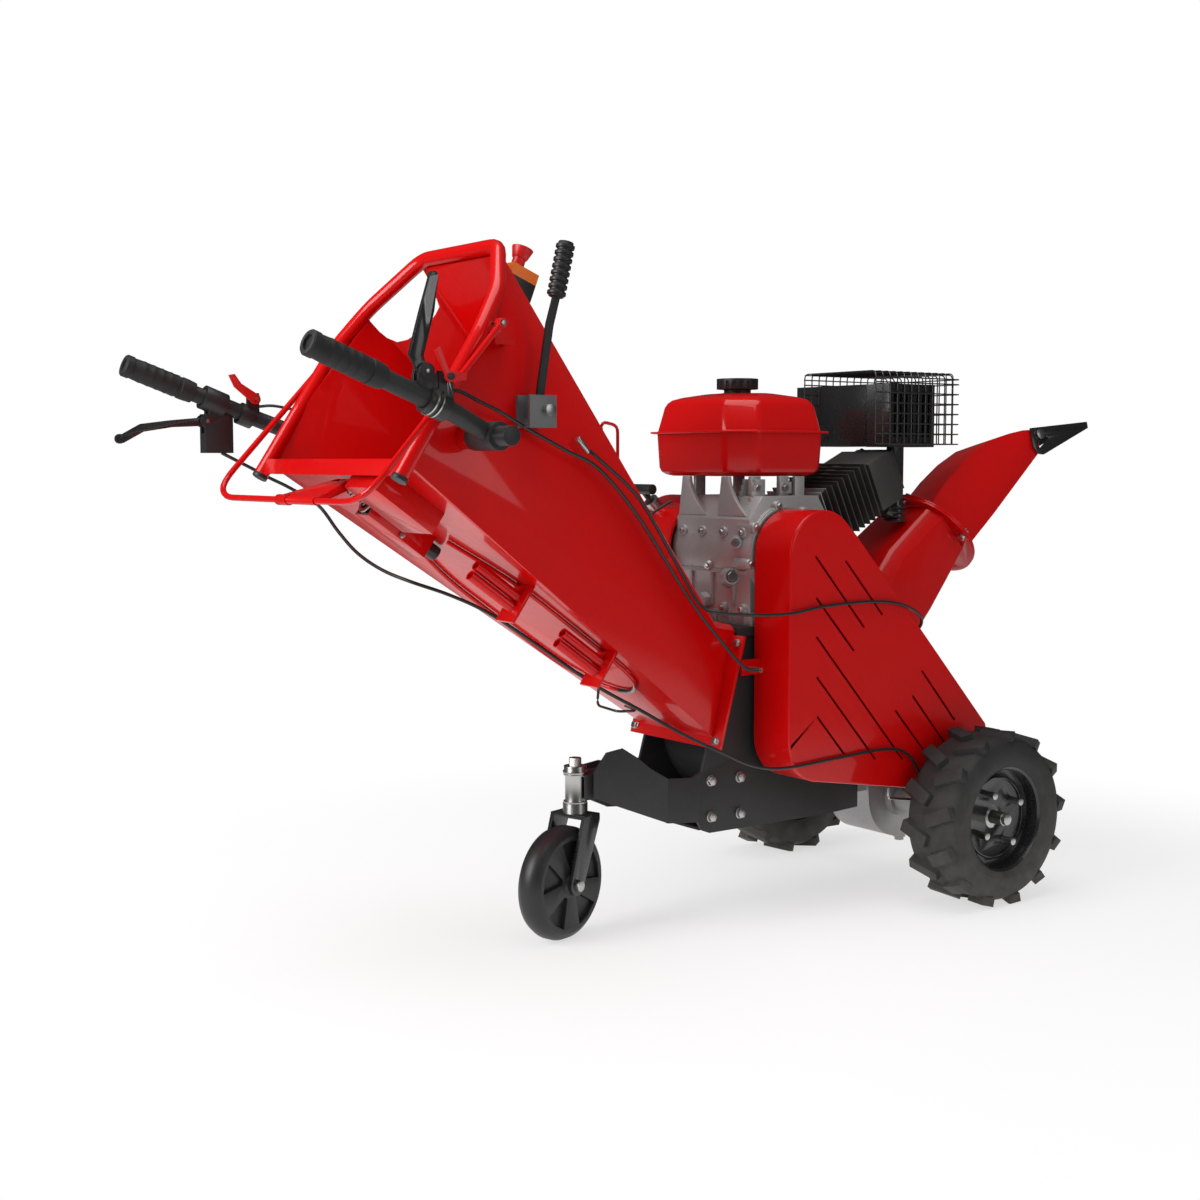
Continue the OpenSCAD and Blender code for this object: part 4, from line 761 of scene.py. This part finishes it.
def make_belt_cover():
    """The CAD cover with only the rim of its face rounded."""
    looks, pick = PAINTED["belt_cover"]
    mesh = welded_copy("belt_cover", pick)
    face_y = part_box("belt_cover")[0].y
    work = bmesh.new()
    work.from_mesh(mesh)
    weight = work.edges.layers.float.new("bevel_weight_edge")
    for edge in work.edges:
        on_face = all(abs(v.co.y - face_y) < 2e-5 for v in edge.verts)
        reach = max(abs(v.co.y - face_y) for f in edge.link_faces for v in f.verts)
        if on_face and edge.is_manifold and edge.calc_face_angle(0) > RIM_BEND and reach > RIM_DEPTH:
            edge[weight] = 1.0
    work.to_mesh(mesh)
    work.free()
    mesh = rounded(mesh, RIM_ROUND, 4, weighted=True)
    soft_edges(mesh)
    for face in mesh.polygons:
        if abs(face.normal.y) > 0.9999:
            face.use_smooth = False
    add_piece("belt_cover_skin", mesh, "chassis", looks, ("belt_cover",))


make_belt_cover()


# ---- Fuel tank: two pressed halves with a seam between ----
TANK_CUT = 0.046
SEAM_Z = 0.889
SEAM_OUT = 0.0098
SEAM_WIDTH = 0.010
NECK_HEIGHT = 0.0087
TANK_SHARP = math.radians(28)


def tank_ring(work, low, high, z, inset, soften):
    """A ring of the tank: a rectangle with cut corners, each corner a short arc."""
    x0, y0, x1, y1 = low.x + inset, low.y + inset, high.x - inset, high.y - inset
    cut = TANK_CUT
    corners = [(x0 + cut, y0), (x1 - cut, y0), (x1, y0 + cut), (x1, y1 - cut),
               (x1 - cut, y1), (x0 + cut, y1), (x0, y1 - cut), (x0, y0 + cut)]
    ring = []
    for i, corner in enumerate(corners):
        here, back, ahead = (Vector(corners[k % 8]) for k in (i, i - 1, i + 1))
        a = here + (back - here).normalized() * soften
        c = here + (ahead - here).normalized() * soften
        for k in range(5):
            t = k / 4
            spot = (1 - t) ** 2 * a + 2 * t * (1 - t) * here + t * t * c
            ring.append(work.verts.new((spot.x, spot.y, z)))
    return ring


def make_tank():
    """The tank's two halves and its neck."""
    low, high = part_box("fuel_tank")
    low, high = low.copy(), high.copy()
    for corner, way in ((low, 1), (high, -1)):
        corner.x += way * SEAM_WIDTH
        corner.y += way * SEAM_WIDTH
    foot, top, seam = low.z, high.z - NECK_HEIGHT, SEAM_Z
    work = bmesh.new()
    levels = [(foot, 0.022, 0.008), (foot + 0.003, 0.012, 0.009), (foot + 0.008, 0.006, 0.01),
              (foot + 0.016, 0.003, 0.01), (seam - 0.002, 0.0, 0.01), (seam, 0.0, 0.01),
              (seam, -SEAM_OUT + 0.001, 0.01), (seam + 0.001, -SEAM_OUT, 0.01),
              (seam + 0.0025, -SEAM_OUT, 0.01), (seam + 0.0035, -SEAM_OUT + 0.001, 0.01),
              (seam + 0.0035, -0.001, 0.01), (seam + 0.005, 0.001, 0.01),
              (top - 0.026, 0.010, 0.01), (top - 0.018, 0.014, 0.01), (top - 0.012, 0.020, 0.01),
              (top - 0.007, 0.034, 0.01), (top - 0.001, 0.064, 0.01), (top, 0.072, 0.01)]
    rings = [tank_ring(work, low, high, z, inset, soften) for z, inset, soften in levels]
    close_rings(work, rings)
    mesh = finished_mesh("fuel_tank_skin", work, False)
    soft_edges(mesh, TANK_SHARP)
    add_piece("fuel_tank_skin", mesh, "chassis", RED, ("fuel_tank",))
    work = bmesh.new()
    lathe(work, (-0.310, 0.085, top - 0.004), (0, 0, 1),
          [(0, 0.034), (0.004, 0.034), (0.0055, 0.031), (0.0055, 0.026), (0.0126, 0.026)], 40)
    add_piece("tank_neck", finished_mesh("tank_neck", work), "chassis", CHARCOAL)


make_tank()


# ---- Engine castings ----
def block(work, corner, size):
    """Adds a box, from its lowest corner and its size."""
    for v in bmesh.ops.create_cube(work, size=1.0)["verts"]:
        v.co = Vector((corner[i] + size[i] * (v.co[i] + 0.5) for i in range(3)))


def hexagon(work, at, along, across, height):
    """Adds a bolt's washer and hexagon head."""
    lathe(work, at, along, [(0, across * 0.72), (height * 0.22, across * 0.72)], 20)
    lathe(work, at, along, [(0, across * 0.56), (height * 0.85, across * 0.56),
                            (height, across * 0.5)], 6)


def tree_of(*names):
    """A search tree of finished pieces that carry a detail."""
    points, faces = [], []
    for name in names:
        mesh = bpy.data.objects[name].data
        faces += [[k + len(points) for k in face.vertices] for face in mesh.polygons]
        points += [v.co.copy() for v in mesh.vertices]
    return BVHTree.FromPolygons(points, faces)


ENGINE_TREE = tree_of("engine_block_skin")


# Where each arm under the tank stands across the machine
TANK_BRACKETS = (0.095, -0.018)


def curved_bracket(work, y):
    """One cast arm under the tank's left end, with an ear at its top and a wider foot."""
    far_edge, near_edge = [], []
    for k in range(9):
        t = k / 8
        z = 0.8079 - 0.072 * t
        far_edge.append((y + 0.010 + 0.010 * t, z))
        near_edge.append((y - 0.010 - 0.050 * t ** 1.8, z))
    ring = far_edge + near_edge[::-1]
    front = [work.verts.new((-0.4295, p[0], p[1])) for p in ring]
    back = [work.verts.new((-0.4215, p[0], p[1])) for p in ring]
    count = len(ring)
    work.faces.new(front[::-1])
    work.faces.new(back)
    for i in range(count):
        j = (i + 1) % count
        work.faces.new((front[i], front[j], back[j], back[i]))
    lathe(work, (-0.4285, y, 0.798), (-1, 0, 0), [(0, 0.0085), (0.0015, 0.008)], 16)


# Where the pieces placed by the photograph's points came to stand
PLACED = {}


SHAFT_X, SHAFT_Z = -0.350, 0.668
END_X = -0.4325


def make_engine_details():
    """Bosses, ribs and cover screws that are part of the engine's castings."""
    cast, screws = bmesh.new(), bmesh.new()
    # Bosses round the power-take-off face
    for i in range(8):
        angle = math.radians(45 * i + 12)
        x, z = SHAFT_X + 0.088 * math.cos(angle), SHAFT_Z + 0.088 * math.sin(angle)
        lathe(cast, (x, -0.060, z), (0, -1, 0), [(0, 0.0115), (0.036, 0.010), (0.040, 0.009)], 18)
        hexagon(screws, (x, -0.0985, z), (0, -1, 0), 0.010, 0.0055)
    # Raised rings of the face
    for outer, inner, y in ((0.086, 0.080, -0.101), (0.066, 0.060, -0.1035)):
        lathe(cast, (SHAFT_X, -0.096, SHAFT_Z), (0, -1, 0),
              [(0, outer), (abs(y) - 0.096, outer), (abs(y) - 0.096, inner), (0, inner)], 48)
    # Screwed cover on the crankcase's end, toward the hopper
    for y in (-0.074, -0.02, 0.04, 0.096):
        for z in (0.566, 0.706):
            lathe(cast, (END_X + 0.006, y, z), (-1, 0, 0), [(0, 0.011), (0.010, 0.0095)], 18)
            hexagon(screws, (END_X - 0.004, y, z), (-1, 0, 0), 0.009, 0.005)
    for y in (-0.050, 0.010, 0.070):
        block(cast, (END_X - 0.002, y, 0.570), (0.008, 0.006, 0.130))
    block(cast, (END_X - 0.003, -0.082, 0.630), (0.010, 0.186, 0.007))
    # Curved webs under the tank
    for y in (-0.066, -0.036):
        for k in range(6):
            block(cast, (-0.416 + 0.004 * k, y, 0.735 + 0.011 * k), (0.044 - 0.004 * k, 0.007, 0.013))
    for x in (-0.402, -0.332):
        block(cast, (x, -0.062, 0.776), (0.030, 0.010, 0.022))
        hexagon(screws, (x + 0.012, -0.062, 0.787), (0, -1, 0), 0.011, 0.006)
    # Lower ribs that stiffen the sump
    for i in range(5):
        block(cast, (-0.4335, -0.080 + 0.040 * i, 0.5365), (0.012, 0.005, 0.026))
    for name, radius, reach, way in (("boss_upper", 0.011, 0.022, (-0.8, -0.6, 0.0)),
                                     ("boss_lower", 0.016, 0.026, (-0.5, -0.8, 0.15)),
                                     ("drain_boss", 0.0085, 0.010, None)):
        spot, normal = place_at(*IMAGE_POINTS[name], ENGINE_TREE)
        way = Vector(way or normal).normalized()
        PLACED[name] = spot + way * reach
        lathe(cast, spot - way * 0.004, way, [(0, radius * 1.25), (reach * 0.55, radius),
                                              (reach, radius * 0.92)], 20)
        hexagon(screws, spot + way * (reach - 0.004), way, radius, 0.005)
    for y in TANK_BRACKETS:
        curved_bracket(cast, y)
    mesh = rounded(finished_mesh("engine_castings", cast, False), 0.0012, 2)
    soft_edges(mesh)
    add_piece("engine_castings", mesh, "chassis", CAST)
    add_piece("engine_screws", finished_mesh("engine_screws", screws), "chassis", ZINC)


make_engine_details()


# ---- Wire cage round the muffler ----
CAGE_PITCH = 0.020
CAGE_WIRE = 0.0013
CAGE_BEND = 0.010
CAGE_NEAR_Y = -0.0655
CAGE_INSET = 0.0015
CAGE_LAYER = 0.002
CAGE_SCREW_XS = (-0.0245, 0.0555)
CAGE_SCREW_ZS = (0.8715, 0.9715)


def bent_route(points, radius, steps=4):
    """A route of straight runs with its corners rounded."""
    pts = [Vector(p) for p in points]
    out = [pts[0]]
    for a, b, c in zip(pts, pts[1:], pts[2:]):
        start, end = b + (a - b).normalized() * radius, b + (c - b).normalized() * radius
        out += [(1 - t) ** 2 * start + 2 * t * (1 - t) * b + t * t * end
                for t in (k / steps for k in range(steps + 1))]
    return out + [pts[-1]]


def make_cage():
    """Wires round the near, right and far faces, and over the top."""
    low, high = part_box("muffler_cage")
    x0, x1, y1 = low.x + CAGE_INSET, high.x - CAGE_INSET, high.y - CAGE_INSET
    y0, z0, z1 = CAGE_NEAR_Y, low.z + CAGE_INSET, high.z - CAGE_INSET
    routes = []
    for k in range(round((z1 - z0) / CAGE_PITCH) + 1):
        z = z0 + k * CAGE_PITCH - (CAGE_BEND if k == round((z1 - z0) / CAGE_PITCH) else 0)
        routes.append([(x0, y0, z), (x1, y0, z), (x1, y1, z), (x0, y1, z)])
    for i in range(round((x1 - x0) / CAGE_PITCH)):
        x = x0 + i * CAGE_PITCH
        routes.append([(x, y0 + CAGE_LAYER, z0), (x, y0 + CAGE_LAYER, z1),
                       (x, y1 - CAGE_LAYER, z1), (x, y1 - CAGE_LAYER, z0)])
    for j in range(1, round((y1 - y0) / CAGE_PITCH) + 1):
        y = y0 + j * CAGE_PITCH
        routes.append([(x1 - CAGE_LAYER, y, z0), (x1 - CAGE_LAYER, y, z1 - CAGE_LAYER),
                       (x0, y, z1 - CAGE_LAYER)])
    work = bmesh.new()
    for route in routes:
        tube_rings(work, bent_route(route, CAGE_BEND), CAGE_WIRE, 8)
    for x in CAGE_SCREW_XS:
        for z in CAGE_SCREW_ZS:
            lathe(work, (x, -0.0603, z), (0, -1, 0), [(0, 0.003), (0.0047, 0.003)], 12)
    add_piece("wire_cage", finished_mesh("wire_cage", work), "chassis", BLACK_PAINT,
              ("muffler_cage",))


make_cage()


# ---- Clamp band on the near handlebar ----
def make_clamp_band():
    """Two thin rings where the photograph shows a clamp."""
    bar_tree = tree_of("handlebars_skin", "lever_perches_skin")
    spot, _ = place_at(*IMAGE_POINTS["clamp_band"], bar_tree)
    PLACED["clamp_band"] = spot
    start, end = GRIP_IN, Vector((-1.205, -0.320, 0.909))
    along = (end - start).normalized()
    place = (spot - start).dot(along)
    work = bmesh.new()
    for shift in (0.0, 0.009):
        lathe(work, start + along * (place + shift), along,
              [(0, 0.0148), (0, 0.0222), (0.0025, 0.0222), (0.0025, 0.0148)], 36)
    add_piece("clamp_band", finished_mesh("clamp_band", work), "chassis", ZINC)


make_clamp_band()


# ---- Control cables: route and thickness ----
CONTROL_CABLES = {
    "brake_cable_sheath": (BRAKE_ROUTE, 0.006), "clutch_cable_sheath": (CLUTCH_ROUTE, 0.006),
    "gear_cable_sheath": (GEAR_ROUTE, 0.006), "throttle_cable_sheath": (THROTTLE_ROUTE, 0.005),
}


def make_cables():
    """The four control cables, each a tube along its route with both its ends in the machine."""
    for name, (route, width) in CONTROL_CABLES.items():
        work = bmesh.new()
        line = smooth_route(route)
        tube_rings(work, line, width / 2, 12)
        sheath = add_piece(name, finished_mesh(name, work), "chassis", SHEATH,
                           ("control_cables",))


make_cables()


# ---- Floor, light ----
FLOOR_HALF = 14.0
FLOOR_MIDDLE = (-0.25, 0.0, 0.0)
# How white the floor is kept near the machine, and the reach of the change to full white
NEAR_GLOW = 0.62
GLOW_REACH = (0.7, 1.6)
# How much of the far floor's and the sky's glow a mirrored view loses, and from where
MIRRORED_GLOW_LOSS = 0.9
MIRRORED_REACH = (1.1, 2.6)
MIRRORED_SKY_LOSS = 0.38
SKY_LEVEL = 0.42


def smooth_range(nodes, reach):
    """A soft step from 0 to 1 between two distances."""
    made = nodes.new("ShaderNodeMapRange")
    made.interpolation_type = "SMOOTHSTEP"
    made.inputs["From Min"].default_value, made.inputs["From Max"].default_value = reach
    return made


def make_stage():
    """A pale floor that is plain white to the camera further off."""
    work = bmesh.new()
    bmesh.ops.create_grid(work, x_segments=1, y_segments=1, size=FLOOR_HALF)
    floor = bpy.data.objects.new("floor", finished_mesh("floor", work, False))
    bpy.context.scene.collection.objects.link(floor)
    look = bpy.data.materials.new("pale_floor")
    look.use_nodes = True
    n, link = look.node_tree.nodes, look.node_tree.links.new
    out = n["Material Output"]
    shader = n["Principled BSDF"]
    shader.inputs["Base Color"].default_value = (0.92, 0.92, 0.92, 1)
    shader.inputs["Roughness"].default_value = 0.9
    shader.inputs["Specular IOR Level"].default_value = 0.1
    glow = n.new("ShaderNodeEmission")
    glow_level = math_node(n, "MULTIPLY_ADD", -MIRRORED_GLOW_LOSS, 1.0)
    place = n.new("ShaderNodeTexCoord")
    middle = n.new("ShaderNodeVectorMath")
    middle.operation = "DISTANCE"
    middle.inputs[1].default_value = FLOOR_MIDDLE
    far = smooth_range(n, GLOW_REACH)
    far.inputs["To Min"].default_value = NEAR_GLOW
    path = n.new("ShaderNodeLightPath")
    either = math_node(n, "MAXIMUM")
    weight = math_node(n, "MULTIPLY")
    mix = n.new("ShaderNodeMixShader")
    link(place.outputs["Object"], middle.inputs[0])
    link(middle.outputs["Value"], far.inputs["Value"])
    away = smooth_range(n, MIRRORED_REACH)
    dimmed = math_node(n, "MULTIPLY")
    link(middle.outputs["Value"], away.inputs["Value"])
    link(away.outputs[0], dimmed.inputs[0])
    link(path.outputs["Is Glossy Ray"], dimmed.inputs[1])
    link(dimmed.outputs[0], glow_level.inputs[0])
    link(glow_level.outputs[0], glow.inputs["Strength"])
    link(path.outputs["Is Camera Ray"], either.inputs[0])
    link(path.outputs["Is Glossy Ray"], either.inputs[1])
    link(far.outputs[0], weight.inputs[0])
    link(either.outputs[0], weight.inputs[1])
    link(weight.outputs[0], mix.inputs[0])
    link(shader.outputs[0], mix.inputs[1])
    link(glow.outputs[0], mix.inputs[2])
    link(mix.outputs[0], out.inputs["Surface"])
    floor.data.materials.append(look)
    floor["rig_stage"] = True


def make_world():
    """A white background to the camera, with less light to everything else."""
    world = bpy.data.worlds.new("studio")
    bpy.context.scene.world = world
    world.use_nodes = True
    n, link = world.node_tree.nodes, world.node_tree.links.new
    back = n["Background"]
    back.inputs["Color"].default_value = (1, 1, 1, 1)
    path = n.new("ShaderNodeLightPath")
    seen = math_node(n, "MAXIMUM")
    level = n.new("ShaderNodeMapRange")
    level.inputs["To Min"].default_value = SKY_LEVEL
    level.inputs["To Max"].default_value = 1.0
    dark = math_node(n, "MULTIPLY_ADD", -MIRRORED_SKY_LOSS)
    link(path.outputs["Is Camera Ray"], seen.inputs[0])
    link(path.outputs["Is Transmission Ray"], seen.inputs[1])
    link(seen.outputs[0], level.inputs["Value"])
    link(path.outputs["Is Glossy Ray"], dark.inputs[0])
    link(level.outputs[0], dark.inputs[2])
    link(dark.outputs[0], back.inputs["Strength"])


def add_lamp(name, place, target, size, power):
    """A rectangular soft lamp turned toward its target."""
    data = bpy.data.lights.new(name, "AREA")
    data.shape = "RECTANGLE"
    data.size, data.size_y = size
    data.energy = power
    lamp = bpy.data.objects.new(name, data)
    bpy.context.scene.collection.objects.link(lamp)
    aim = Vector(target) - Vector(place)
    lamp.matrix_world = Matrix.Translation(place) @ aim.to_track_quat("-Z", "Y").to_matrix().to_4x4()


# Name, place, aim, size in metres and power in watts
LAMPS = (
    ("top_softbox", (-0.9, -0.2, 3.4), (-0.3, 0.0, 0.4), (2.6, 2.2), 52),
    ("left_softbox", (-3.9, 0.3, 1.9), (-0.5, 0.0, 0.6), (2.0, 2.0), 92),
    ("right_softbox", (0.4, -3.6, 1.6), (-0.2, 0.0, 0.5), (1.4, 1.6), 11),
)

make_stage()
make_world()
for lamp in LAMPS:
    add_lamp(*lamp)

bpy.context.scene.view_settings.view_transform = "Standard"

# ---- Image points and sizes: where they show in the camera's frame ----
# Where the things of the image points are in the part
FEATURE_PLACES = {
    "near_hub_end": (0.0, -0.338, 0.165), "castor_nut_top": (-0.757, 0.0, 0.3155),
    "frame_bolt_upper_left": (-0.524, -0.1, 0.262), "frame_bolt_lower_right": (-0.454, -0.1, 0.194),
    "near_grip_end": (-1.434, -0.334, 0.995), "hoop_pivot_near": (-1.072, -0.226, 1.042),
    "hoop_sleeve": (-1.309, 0.0, 0.777), "brake_lever_tip": (-1.447, 0.327, 0.871),
    "tank_cap_middle": (-0.310, 0.085, 0.984), "flap_bolt": (0.3909, -0.0806, 0.8937),
    "castor_axle_bolt": (-0.7841, -0.0561, 0.100),
}


def write_points():
    """Where each named thing and the machine's outer edges show in the camera's frame; the results are
    not kept.
    """
    ends = [[], []]
    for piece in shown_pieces():
        if piece.type != "MESH" or piece.hide_render:
            continue
        for v in piece.data.vertices:
            u, w = seen_at(piece.matrix_world @ v.co)
            ends[0].append(u)
            ends[1].append(w)
    shown = {"object_left_x": min(ends[0]), "object_right_x": max(ends[0]),
             "object_top_y": min(ends[1]), "object_bottom_y": max(ends[1])}
    top = max((v.co for v in cad["stop_button"].data.vertices), key=lambda c: c.z)
    places = {**FEATURE_PLACES, **PLACED, "stop_button_top": top}
    for name, target in IMAGE_POINTS.items():
        if name in shown:
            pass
        elif name in places:
            u, w = seen_at(Vector(places[name]))


write_points()
